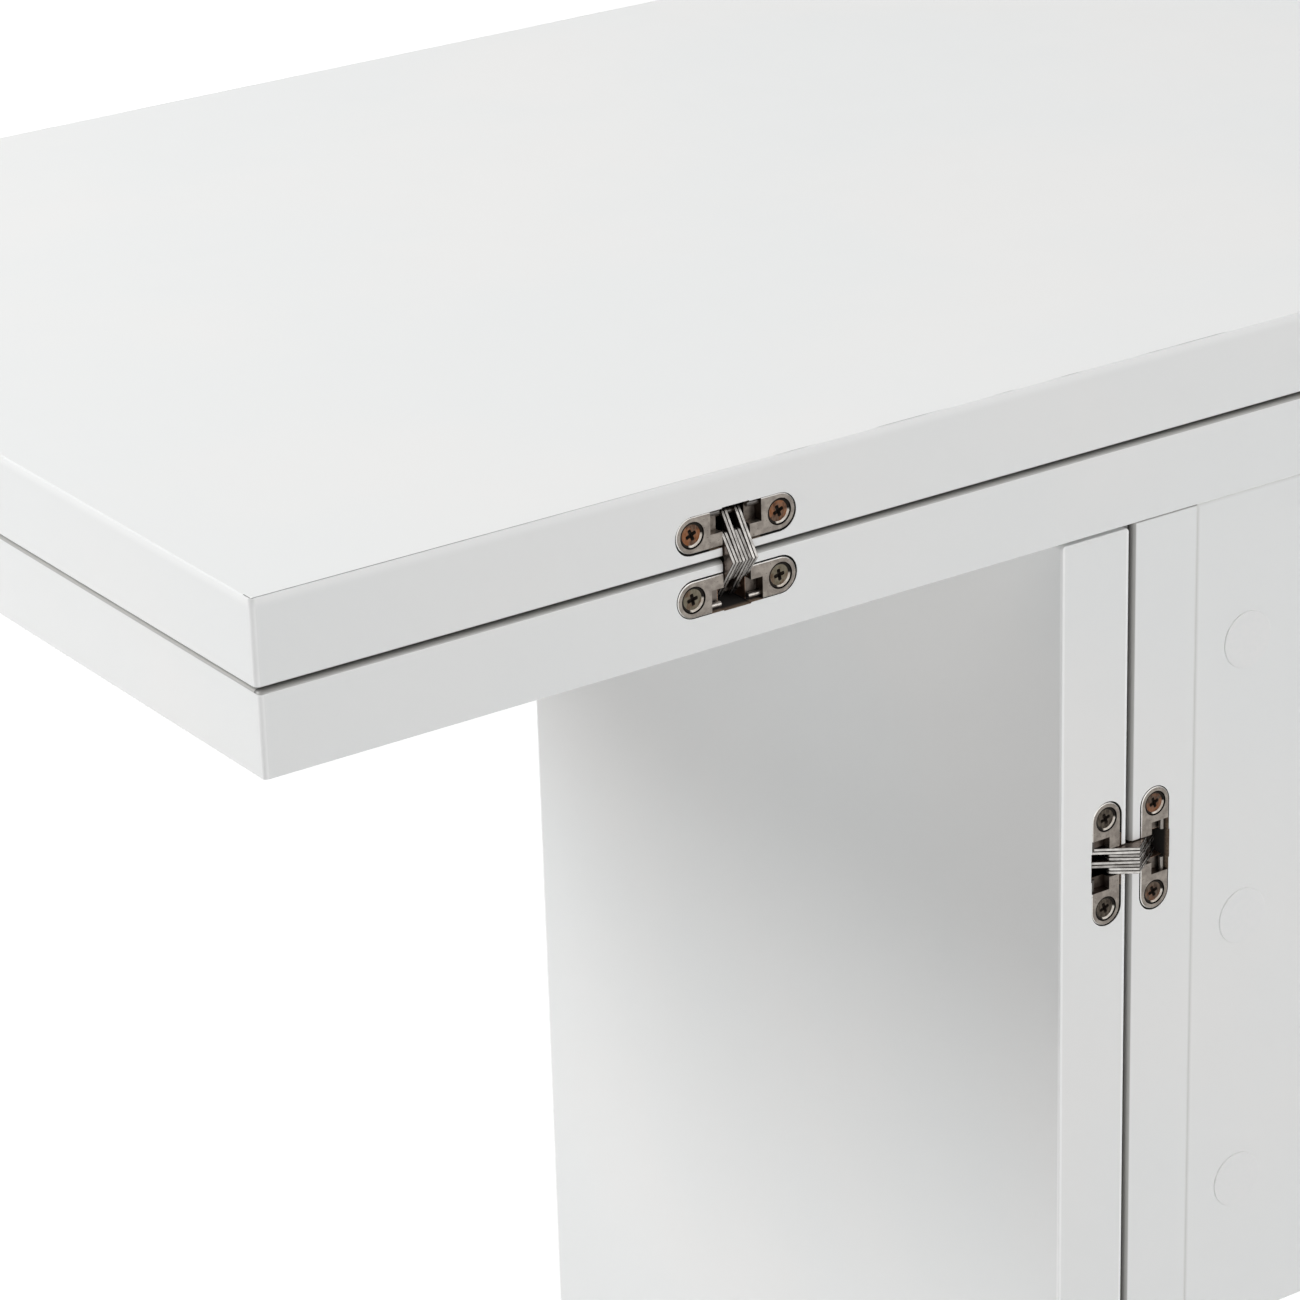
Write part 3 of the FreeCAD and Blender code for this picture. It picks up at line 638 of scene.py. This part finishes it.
def cast_zinc(half):
    """The finish of one row of hinge halves."""
    material, tree, shader = new_material("zinc_" + half)
    blotch = use_group(tree, cloud, Scale=420.0, Low=0.35, High=0.65)
    grain = use_group(tree, cloud, Scale=2600.0, Detail=4.0)
    plate = paint_shade_in_hollows(tree, half, casting_skin(tree, blotch))
    feed(tree, shader.inputs["Base Color"], plate)
    feed(tree, shader.inputs["Roughness"], scaled(tree, blotch["Mask"], 0.34, 0.46))
    surface = bumped(tree, grain["Height"], 0.04 * MM)
    feed(tree, shader.inputs["Normal"], bumped(tree, blotch["Height"], 0.15 * MM, under=surface))
    shader.inputs["Metallic"].default_value = 1
    return material


for half in HALVES:
    dress(half + "_plates", cast_zinc(half))
print("castings dressed:", len(HALVES))

# %% [markdown]
# ## Link strips
# Each link is a stack of sheared steel strips. Their narrow edges are polished by handling, and
# each strip takes the light its own way, lighter still on the upright hinges as painted light; the
# chamfers between strips are painted dark as shade. The broad outer side of a stack is dull and
# brownish, and the long arms fade into painted shade deeper in the channel.

# %% Sheared steel
STEEL = shade(0.20, 0.188, 0.176)
STEEL_BRIGHT = shade(0.52, 0.50, 0.475)
# a lighter copy for the upright hinges: painted light
STEEL_LIT_UPRIGHT = shade(0.70, 0.68, 0.65)
STEEL_SIDE = shade(0.30, 0.25, 0.22)
STEEL_SIDE_DULL = shade(0.22, 0.178, 0.155)
# painted shade on the chamfers between strips and deep in the channel
STEEL_SHADE = shade(0.030, 0.024, 0.020)
STRIP_PITCH = 1.24 * MM
OWN_TONE = 0.6
STREAK_TONE = 0.4
DARK_DEPTH = (3 * MM, 8 * MM)


def sheared_steel(half):
    """The finish of one row of link stacks."""
    material, tree, shader = new_material("steel_" + half)
    spot = on_hinge(tree, half)
    _, _, upright = hinge_row(half)
    # 0 on a strip's narrow edge, about 0.7 on its chamfers and 1 on its broad sides
    sideways = maths(tree, "ABSOLUTE", object_normal(tree)[2 if upright else 0])
    chamfer = between(tree, sideways, 0.35, 0.9, 0.05)
    broad_side = ramp_between(tree, sideways, 0.92, 0.97)
    strip_number = maths(tree, "FLOOR", maths(tree, "DIVIDE", spot["Along"], STRIP_PITCH))
    own_tone = add(tree, "ShaderNodeTexWhiteNoise", {"W": strip_number}, noise_dimensions="1D").outputs[0]
    streaks = use_group(tree, cloud, Scale=700.0, Detail=4.0, Low=0.3, High=0.7,
                        Stretch=(0.25, 1, 1) if upright else (1, 1, 0.25))
    tone = maths(tree, "MULTIPLY_ADD", own_tone, OWN_TONE, product(tree, streaks["Mask"], STREAK_TONE))
    dull = use_group(tree, cloud, Scale=160.0, Low=0.35, High=0.65)
    side_colour = mixed(tree, dull["Mask"], STEEL_SIDE, STEEL_SIDE_DULL)
    steel = mixed(tree, tone, STEEL, STEEL_LIT_UPRIGHT if upright else STEEL_BRIGHT)
    steel = mixed(tree, broad_side, steel, side_colour)
    # the chamfers between strips take painted shade
    steel = mixed(tree, chamfer, steel, STEEL_SHADE)
    # painted shade as the arms run deeper into the channel
    deep = ramp_between(tree, spot["Depth"], *DARK_DEPTH)
    feed(tree, shader.inputs["Base Color"], mixed(tree, deep, steel, STEEL_SHADE))
    feed(tree, shader.inputs["Roughness"], scaled(tree, streaks["Mask"], 0.24, 0.36))
    ridges = product(tree, streaks["Height"], opposite(tree, broad_side))
    feed(tree, shader.inputs["Normal"], bumped(tree, ridges, 0.02 * MM))
    shader.inputs["Metallic"].default_value = 1
    return material


for half in HALVES:
    dress(half + "_links", sheared_steel(half))
print("links dressed:", len(HALVES))

# %% [markdown]
# ## Drawn steel pins
# The pins are cut from drawn rod, so they are smoother than the castings round them, with a fine
# grain. The sliders and the pins of the upper and swinging halves take a dark, dull copy of the
# steel as painted shade.


# %% Drawn steel
def drawn_steel(name, dark, pale, metal):
    """Smooth steel between two close tones; metal is 0 for the dark copy painted as shade."""
    material, tree, shader = new_material(name)
    grain = use_group(tree, cloud, Scale=2400.0, Low=0.3, High=0.7)
    feed(tree, shader.inputs["Base Color"], mixed(tree, grain["Mask"], dark, pale))
    feed(tree, shader.inputs["Roughness"], scaled(tree, grain["Mask"], 0.28, 0.40))
    feed(tree, shader.inputs["Normal"], bumped(tree, grain["Height"], 0.01 * MM))
    shader.inputs["Metallic"].default_value = metal
    return material


pin_steel = drawn_steel("pin_steel", shade(0.19, 0.175, 0.16), shade(0.30, 0.28, 0.26), 1)
# dark, dull copy of the pin steel: painted shade
pin_steel_shaded = drawn_steel("pin_steel_shaded", shade(0.035, 0.028, 0.022), shade(0.07, 0.058, 0.048), 0)
for node in nodes:
    if node.endswith(("_pins", "_sliders", "_bolts")):
        # these take the dark copy, painted shade
        in_shade = node.endswith(("upper_pins", "swing_pins", "_sliders"))
        dress(node, pin_steel_shaded if in_shade else pin_steel)

# %% [markdown]
# ## Screw plating
# The countersunk screws have lost part of their plating. The face has gone from nickel to bronze
# or olive, patchy and different in each row. The dished rim round the face carries a painted
# highlight low on the right and painted shade elsewhere. Painted shade fills the recess.

# %% Screw finishes
TINTS = {
    "leaf_hinge_upper": (shade(0.17, 0.066, 0.028), shade(0.062, 0.030, 0.018)),
    "leaf_hinge_lower": (shade(0.112, 0.100, 0.072), shade(0.075, 0.046, 0.028)),
    "hinge_fixed": (shade(0.15, 0.060, 0.028), shade(0.050, 0.032, 0.024)),
    "hinge_swing": (shade(0.040, 0.033, 0.026), shade(0.024, 0.019, 0.015)),
    "low_screw": (shade(0.050, 0.034, 0.025), shade(0.095, 0.040, 0.021)),
}
SCRATCH = shade(0.50, 0.42, 0.33)
SCRATCH_SHARE = 0.12
# painted highlight on the dish, low on the right, in two tones
DISH_HIGHLIGHT = shade(1.0, 0.95, 0.87)
DISH_HIGHLIGHT_DIM = shade(0.72, 0.63, 0.54)
# painted shade on the rest of the dish
DISH_SHADE = shade(0.010, 0.008, 0.006)
DISH_UPWARDS = 0.8
DISH_SIDEWAYS = 0.6
DISH_HIGHLIGHT_RAMP = (0.36, 0.50)
DISH_SHEEN = 0.15
# painted shade in the recess and round the head
SCREW_SHADE_DARK = shade(0.012, 0.009, 0.007)
SCREW_SHADE_PALE = shade(0.035, 0.026, 0.02)
SCREW_SHADE_SHEEN = 0.1


def plated_face(name, tint, worn):
    """Old plating in two tints, with a few fine scratches."""
    material, tree, shader = new_material("plating_" + name)
    patches = use_group(tree, cloud, Scale=330.0, Detail=3.0, Low=0.42, High=0.62)
    scratches = use_group(tree, cloud, Scale=1900.0, Low=0.3, High=0.7, Stretch=(1, 1, 0.3))
    worn_face = mixed(tree, patches["Mask"], tint, worn)
    wear_and_highlight = product(tree, scratches["Mask"], SCRATCH_SHARE)
    feed(tree, shader.inputs["Base Color"], mixed(tree, wear_and_highlight, worn_face, SCRATCH))
    feed(tree, shader.inputs["Roughness"], scaled(tree, patches["Mask"], 0.28, 0.42))
    feed(tree, shader.inputs["Normal"], bumped(tree, scratches["Height"], 0.01 * MM))
    shader.inputs["Metallic"].default_value = 1
    return material


def dish_finish():
    """Painted highlight where the dish slopes up and to the left, which is low on its right; painted shade
    elsewhere.
    """
    material, tree, shader = new_material("screw_dish")
    normal = object_normal(tree)
    upwards = product(tree, normal[2], DISH_UPWARDS)
    low_right = maths(tree, "SUBTRACT", upwards, product(tree, normal[0], DISH_SIDEWAYS))
    # painted highlight where the dish faces up and to the left
    wear_and_highlight = ramp_between(tree, low_right, *DISH_HIGHLIGHT_RAMP)
    highlight_patches = use_group(tree, cloud, Scale=500.0, Low=0.3, High=0.7)
    highlight_colour = mixed(tree, highlight_patches["Mask"], DISH_HIGHLIGHT_DIM, DISH_HIGHLIGHT)
    feed(tree, shader.inputs["Base Color"], mixed(tree, wear_and_highlight, DISH_SHADE, highlight_colour))
    feed(tree, shader.inputs["Roughness"], scaled(tree, wear_and_highlight, 0.7, 0.28))
    feed(tree, shader.inputs["Normal"], bumped(tree, highlight_patches["Height"], 0.01 * MM))
    shader.inputs["Metallic"].default_value = 0
    shader.inputs["Specular IOR Level"].default_value = DISH_SHEEN
    return material


def recess_shade_finish():
    """Dull black painted shade in the recess and round the head."""
    material, tree, shader = new_material("screw_recess_shade")
    shade_tone = use_group(tree, cloud, Scale=1600.0, Low=0.35, High=0.7)
    feed(tree, shader.inputs["Base Color"], mixed(tree, shade_tone["Mask"], SCREW_SHADE_DARK, SCREW_SHADE_PALE))
    feed(tree, shader.inputs["Roughness"], scaled(tree, shade_tone["Mask"], 0.6, 0.8))
    feed(tree, shader.inputs["Normal"], bumped(tree, shade_tone["Height"], 0.03 * MM))
    shader.inputs["Specular IOR Level"].default_value = SCREW_SHADE_SHEEN
    return material


dish = dish_finish()
recess_shade = recess_shade_finish()
faces = {name: plated_face(name, *tints) for name, tints in TINTS.items()}
print("screw faces:", sorted(faces))

# %% [markdown]
# ## Modelling the screw
# The screw is turned from one thin disc, pointing up at the origin. Narrowing and sinking its top
# face makes the dished rim round the flat face, and drawing out the bottom face makes the cone
# under the head and the shank. It is modelled once and copied to every screw hole.

# %% Screw blank
SIDES = 40
HEAD_RADIUS = 4.15 * MM
HEAD_RIM = 0.55 * MM
FACE_RADIUS = 3.4 * MM
LIP = 0.12 * MM
DISH_DEPTH = 0.5 * MM
HEAD_CONE = 2.3 * MM
SHANK_RADIUS = 1.6 * MM
SCREW_LENGTH = 18 * MM
TIP_SHARE = 0.5
TOUCH = 0.01 * MM


def select_none():
    """Leaves edit mode and deselects everything."""
    if bpy.context.mode != "OBJECT":
        bpy.ops.object.mode_set(mode="OBJECT")
    bpy.ops.object.select_all(action="DESELECT")


def select_only(piece):
    """Makes one object the selected and active one."""
    select_none()
    piece.select_set(True)
    bpy.context.view_layer.objects.active = piece


def edit_faces(piece):
    """Opens one object in edit mode, ready to pick faces."""
    select_only(piece)
    bpy.ops.object.mode_set(mode="EDIT")
    bpy.context.tool_settings.mesh_select_mode = (False, False, True)


def pick(piece, chosen):
    """In edit mode, select the faces or edges whose middle passes a test."""
    bpy.ops.mesh.select_all(action="DESELECT")
    bpy.ops.object.mode_set(mode="OBJECT")
    mesh = piece.data
    if bpy.context.tool_settings.mesh_select_mode[2]:
        for face in mesh.polygons:
            face.select = chosen(face.center)
    else:
        for edge in mesh.edges:
            ends = [mesh.vertices[i].co for i in edge.vertices]
            edge.select = chosen((ends[0] + ends[1]) / 2)
    bpy.ops.object.mode_set(mode="EDIT")


def draw_out(rise, narrower):
    """Extrudes the picked end face along the screw and makes it narrower."""
    bpy.ops.mesh.extrude_region_move(TRANSFORM_OT_translate={"value": (0, 0, rise)})
    bpy.ops.transform.resize(value=(narrower, narrower, 1))


select_none()
bpy.ops.mesh.primitive_cylinder_add(
    vertices=SIDES, radius=HEAD_RADIUS, depth=HEAD_RIM, location=(0, 0, -HEAD_RIM / 2))
screw = bpy.context.object
bpy.ops.object.transform_apply(location=True)
edit_faces(screw)
pick(screw, lambda middle: middle.z > -TOUCH)
draw_out(LIP, (HEAD_RADIUS - LIP) / HEAD_RADIUS)
draw_out(0, (HEAD_RADIUS - 2 * LIP) / (HEAD_RADIUS - LIP))
draw_out(-DISH_DEPTH, FACE_RADIUS / (HEAD_RADIUS - 2 * LIP))
pick(screw, lambda middle: middle.z < TOUCH - HEAD_RIM)
draw_out(-HEAD_CONE, SHANK_RADIUS / HEAD_RADIUS)
draw_out(HEAD_RIM + HEAD_CONE - SCREW_LENGTH, TIP_SHARE)
bpy.ops.object.mode_set(mode="OBJECT")
print("screw blank:", len(screw.data.polygons), "faces")

# %% [markdown]
# The cross is cut with two tapered bars and a cone in the middle, as a driver bit would press it.

# %% Cross recess
CROSS_REACH = 2.2 * MM
CROSS_WIDTH = 1.4 * MM
CROSS_DEPTH = 1.7 * MM
CROSS_TAPER = 0.45
CROSS_ROUND = 0.28 * CROSS_WIDTH
CONE_SIDES = 8
CONE_BOTTOM = 0.25 * MM
CONE_TOP = 2.0 * MM


def tapered_bar(turn):
    """A bar with narrowing sides and round ends, standing in the head."""
    select_none()
    bpy.ops.mesh.primitive_cube_add(size=1, location=(0, 0, 0))
    bar = bpy.context.object
    at_face = (1 + CROSS_TAPER) / 2
    bar.dimensions = (2 * CROSS_REACH / at_face, CROSS_WIDTH / at_face, 2 * CROSS_DEPTH)
    bar.rotation_euler.z = turn
    bpy.ops.object.transform_apply(location=True, rotation=True, scale=True)
    edit_faces(bar)
    pick(bar, lambda middle: middle.z < -0.9 * CROSS_DEPTH)
    bpy.ops.transform.resize(value=(CROSS_TAPER, CROSS_TAPER, 1))
    bpy.context.tool_settings.mesh_select_mode = (False, True, False)
    pick(bar, lambda middle: abs(middle.z) < 0.5 * CROSS_DEPTH)
    bpy.ops.mesh.bevel(offset=CROSS_ROUND, segments=3)
    bpy.ops.object.mode_set(mode="OBJECT")
    return bar


def carve(piece, cutter):
    """Takes one mesh out of another with an applied boolean, and removes the cutter."""
    select_only(piece)
    modifier = piece.modifiers.new("cut", "BOOLEAN")
    modifier.operation = "DIFFERENCE"
    modifier.solver = "MANIFOLD"
    modifier.object = cutter
    bpy.ops.object.modifier_apply(modifier="cut")
    bpy.data.objects.remove(cutter)


for turn in (0, math.pi / 2):
    carve(screw, tapered_bar(turn))
select_none()
bpy.ops.mesh.primitive_cone_add(
    vertices=CONE_SIDES, radius1=CONE_BOTTOM, radius2=CONE_TOP, depth=2 * CROSS_DEPTH, location=(0, 0, 0))
carve(screw, bpy.context.object)
print("screw with its cross:", len(screw.data.polygons), "faces")

# %% [markdown]
# Four finishes share the screw's mesh. Each face takes the one for its place: the flat face, the
# dished rim, the painted shade of the recess and the head's side, and the plain steel below the head.

# %% Screw finishes on its faces
# the third finish is painted shade
FACE, DISH_SLOT, SHADE_SLOT, SHANK_SLOT = range(4)
FACE_LEVEL = LIP - DISH_DEPTH - 0.02 * MM
SMOOTH_BELOW = math.radians(25)


def finish_for(face):
    """Which finish a face of the screw takes."""
    radius = face.center.xy.length
    if radius > FACE_RADIUS:
        inside_lip = radius < HEAD_RADIUS - LIP and face.normal.z > 0.1
        return DISH_SLOT if inside_lip else SHADE_SLOT
    if radius < 1.2 * CROSS_REACH and face.center.z > -1.1 * CROSS_DEPTH:
        flat = face.normal.z > 0.95 and face.center.z > FACE_LEVEL
        return FACE if flat else SHADE_SLOT
    return FACE if face.center.z > FACE_LEVEL else SHANK_SLOT


screw.data.materials.clear()
for material in (faces["leaf_hinge_upper"], dish, recess_shade, pin_steel):
    screw.data.materials.append(material)
for face in screw.data.polygons:
    face.material_index = finish_for(face)
select_only(screw)
bpy.ops.object.shade_smooth_by_angle(angle=SMOOTH_BELOW)
counts = [sum(face.material_index == slot for face in screw.data.polygons) for slot in range(4)]
print("faces by finish:", counts)

# %% [markdown]
# The copies stand in pairs on every hinge half. Each is turned by its own small angle, as screws
# end up when they are driven home, and sits a third of a millimetre deep in the flange.

# %% Screws in their holes
HEAD_SINK = 0.35 * MM
LEAST_TURN, MOST_TURN = 8, 24
BODY_OF = {node: body for body, held in bodies.items() for node in held}
chance = random.Random(4)


def tint_of(half, number):
    """The row's own tint; the lower screw of each hinge on the fixed legs has gone darker."""
    if half.endswith("hinge_fixed") and number % 2:
        return "low_screw"
    return next(name for name in faces if half.endswith(name))


def screw_spots(half):
    """The middle of each screw's face, six to a row of hinge halves."""
    middle, spacing, upright = hinge_row(half)
    row = Vector((0, 0, 1)) if upright else Vector((1, 0, 0))
    for hinge in (-1, 0, 1):
        for end in (-0.5, 0.5):
            yield middle + row * (hinge * spacing + end * SCREW_PITCH) + Vector((0, HEAD_SINK, 0))


def drive(half, number, spot):
    """One more screw with its own mesh, its place and turn kept in the mesh."""
    piece = bpy.data.objects.new("%s_screw_%d" % (half, number), screw.data.copy())
    bpy.context.scene.collection.objects.link(piece)
    turn = math.radians(chance.uniform(LEAST_TURN, MOST_TURN))
    outwards = Matrix.Rotation(math.pi / 2, 4, "X")
    piece.data.transform(Matrix.Translation(spot) @ outwards @ Matrix.Rotation(turn, 4, "Z"))
    piece.data.materials[FACE] = faces[tint_of(half, number)]
    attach(piece, BODY_OF[half + "_screws"])
    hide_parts(half + "_screws")


for half in HALVES:
    for number, spot in enumerate(screw_spots(half), 1):
        drive(half, number, spot)
bpy.data.objects.remove(screw)
print("screws driven:", 6 * len(HALVES))

# %% [markdown]
# ## Caps, feet, pads and hidden fittings
# White moulded caps cover the cam fittings and almost vanish on the lacquer. The feet are grey
# nylon, the pads between the leaves are soft and milky, the dowels are plain beech. They are
# small, so one recipe serves them all: two close colours, a cloud to mix them, and a fine bump.


# %% Small finishes
def two_toned(name, first, second, scale, rough, bump, metal=0.0, stretch=(1, 1, 1)):
    """Two close colours mixed by a cloud, with a fine bump."""
    material, tree, shader = new_material(name)
    marks = use_group(tree, cloud, Scale=scale, Low=0.3, High=0.7, Stretch=stretch)
    feed(tree, shader.inputs["Base Color"], mixed(tree, marks["Mask"], first, second))
    feed(tree, shader.inputs["Roughness"], scaled(tree, marks["Mask"], rough, rough + 0.1))
    feed(tree, shader.inputs["Normal"], bumped(tree, marks["Height"], bump))
    shader.inputs["Metallic"].default_value = metal
    return material


cap_white = two_toned("cap_plastic", shade(0.83, 0.835, 0.83), shade(0.845, 0.845, 0.84),
                      600.0, 0.34, 0.02 * MM)
foot_grey = two_toned("glide_plastic", shade(0.22, 0.22, 0.22), shade(0.28, 0.28, 0.275),
                      900.0, 0.45, 0.05 * MM)
pad_milky = two_toned("bumper_rubber", shade(0.70, 0.70, 0.67), shade(0.76, 0.76, 0.74),
                      700.0, 0.5, 0.03 * MM)
beech = two_toned("dowel_wood", shade(0.55, 0.36, 0.20), shade(0.68, 0.48, 0.29),
                  500.0, 0.6, 0.05 * MM, stretch=(0.15, 1, 1))
cam_zinc = two_toned("cam_zinc", shade(0.50, 0.50, 0.51), shade(0.62, 0.62, 0.63),
                     800.0, 0.35, 0.04 * MM, metal=1.0)
for node in nodes:
    for ending, material in (("_caps", cap_white), ("_dowels", beech), ("_cams", cam_zinc)):
        if node.endswith(ending):
            dress(node, material)
    if "glides" in node:
        dress(node, foot_grey)
dress("leaf_bumpers", pad_milky)
print("small parts dressed")

# %% [markdown]
# ## Floor
# The floor is a plain white sheet. Rays that show it, to the camera or in a reflection, see it
# glow faintly under the table's soft shadow, so that it stays white; all other rays meet a plain
# white surface that throws light back up at the table.

# %% Floor
FLOOR_SIZE = 12
FLOOR_PLAIN = shade(0.86, 0.86, 0.86)
FLOOR_FAINT = shade(0.30, 0.30, 0.30)
FLOOR_GLOW = 0.86
PURE_WHITE = shade(1, 1, 1)

select_none()
bpy.ops.mesh.primitive_plane_add(size=FLOOR_SIZE, location=(0, 0, 0))
floor = bpy.context.object
floor.name = "floor"


def seen_ray(tree):
    """1 for rays that show the surface itself: to the camera, in a reflection or through glass."""
    path = add(tree, "ShaderNodeLightPath").outputs
    either = maths(tree, "MAXIMUM", path["Is Camera Ray"], path["Is Glossy Ray"])
    return maths(tree, "MAXIMUM", either, path["Is Transmission Ray"])


def floor_white():
    """Plain white for the light, and a faint glowing white for the eye."""
    material, tree, shader = new_material("floor_white")
    tree.nodes.remove(shader)
    plain = add(tree, "ShaderNodeBsdfDiffuse", {"Color": FLOOR_PLAIN}).outputs[0]
    faint = add(tree, "ShaderNodeBsdfDiffuse", {"Color": FLOOR_FAINT}).outputs[0]
    glow = add(tree, "ShaderNodeEmission", {"Color": PURE_WHITE, "Strength": FLOOR_GLOW}).outputs[0]
    shown = add(tree, "ShaderNodeAddShader", {0: faint, 1: glow}).outputs[0]
    either = add(tree, "ShaderNodeMixShader", {0: seen_ray(tree), 1: plain, 2: shown}).outputs[0]
    feed(tree, tree.nodes["Material Output"].inputs["Surface"], either)
    return material


floor.data.materials.append(floor_white())

# %% [markdown]
# ## Studio light
# Three large softboxes do the work. One stands high behind the left end, so that the overhanging
# leaves throw their shade on the upper part of the legs. One stands in front to the right, and
# one hangs over the top. A weak one near the camera softens the corners, and two small ones below
# the height of the top keep the right end and the back readable. The world adds a little light
# from everywhere, and shows as plain white.

# %% World and lamps
WORLD_LIGHT = 0.11
WORLD_SHOWN = 1.0
world = bpy.data.worlds.new("studio")
bpy.context.scene.world = world
world.use_nodes = True
sky = world.node_tree
backdrop = sky.nodes["Background"].inputs
backdrop["Color"].default_value = PURE_WHITE
feed(sky, backdrop["Strength"], scaled(sky, seen_ray(sky), WORLD_LIGHT, WORLD_SHOWN))


def softbox(name, at, aim, side, power):
    """A square area lamp that looks at a point."""
    lamp = bpy.data.lights.new(name, "AREA")
    lamp.size = side
    lamp.energy = power
    box = bpy.data.objects.new(name, lamp)
    bpy.context.scene.collection.objects.link(box)
    box.location = at
    box.rotation_euler = (Vector(at) - Vector(aim)).to_track_quat("Z", "Y").to_euler()


softbox("ceiling_softbox", (-0.3, -0.2, 3.4), (0, 0, 0.7), 2.4, 30)
softbox("left_softbox", (-2.6, 1.4, 2.3), (-0.4, 0, 0.4), 1.2, 70)
softbox("front_softbox", (1.2, -3.6, 1.7), (-0.1, 0, 0.5), 1.8, 59)
softbox("near_softbox", (-2.2, -2.9, 1.6), (-0.3, 0, 0.6), 1.6, 11)
softbox("right_softbox", (3.2, 0.3, 0.45), (0.4, 0, 0.45), 0.7, 9)
softbox("back_softbox", (0.9, 3.2, 0.45), (0, 0, 0.45), 0.7, 9)
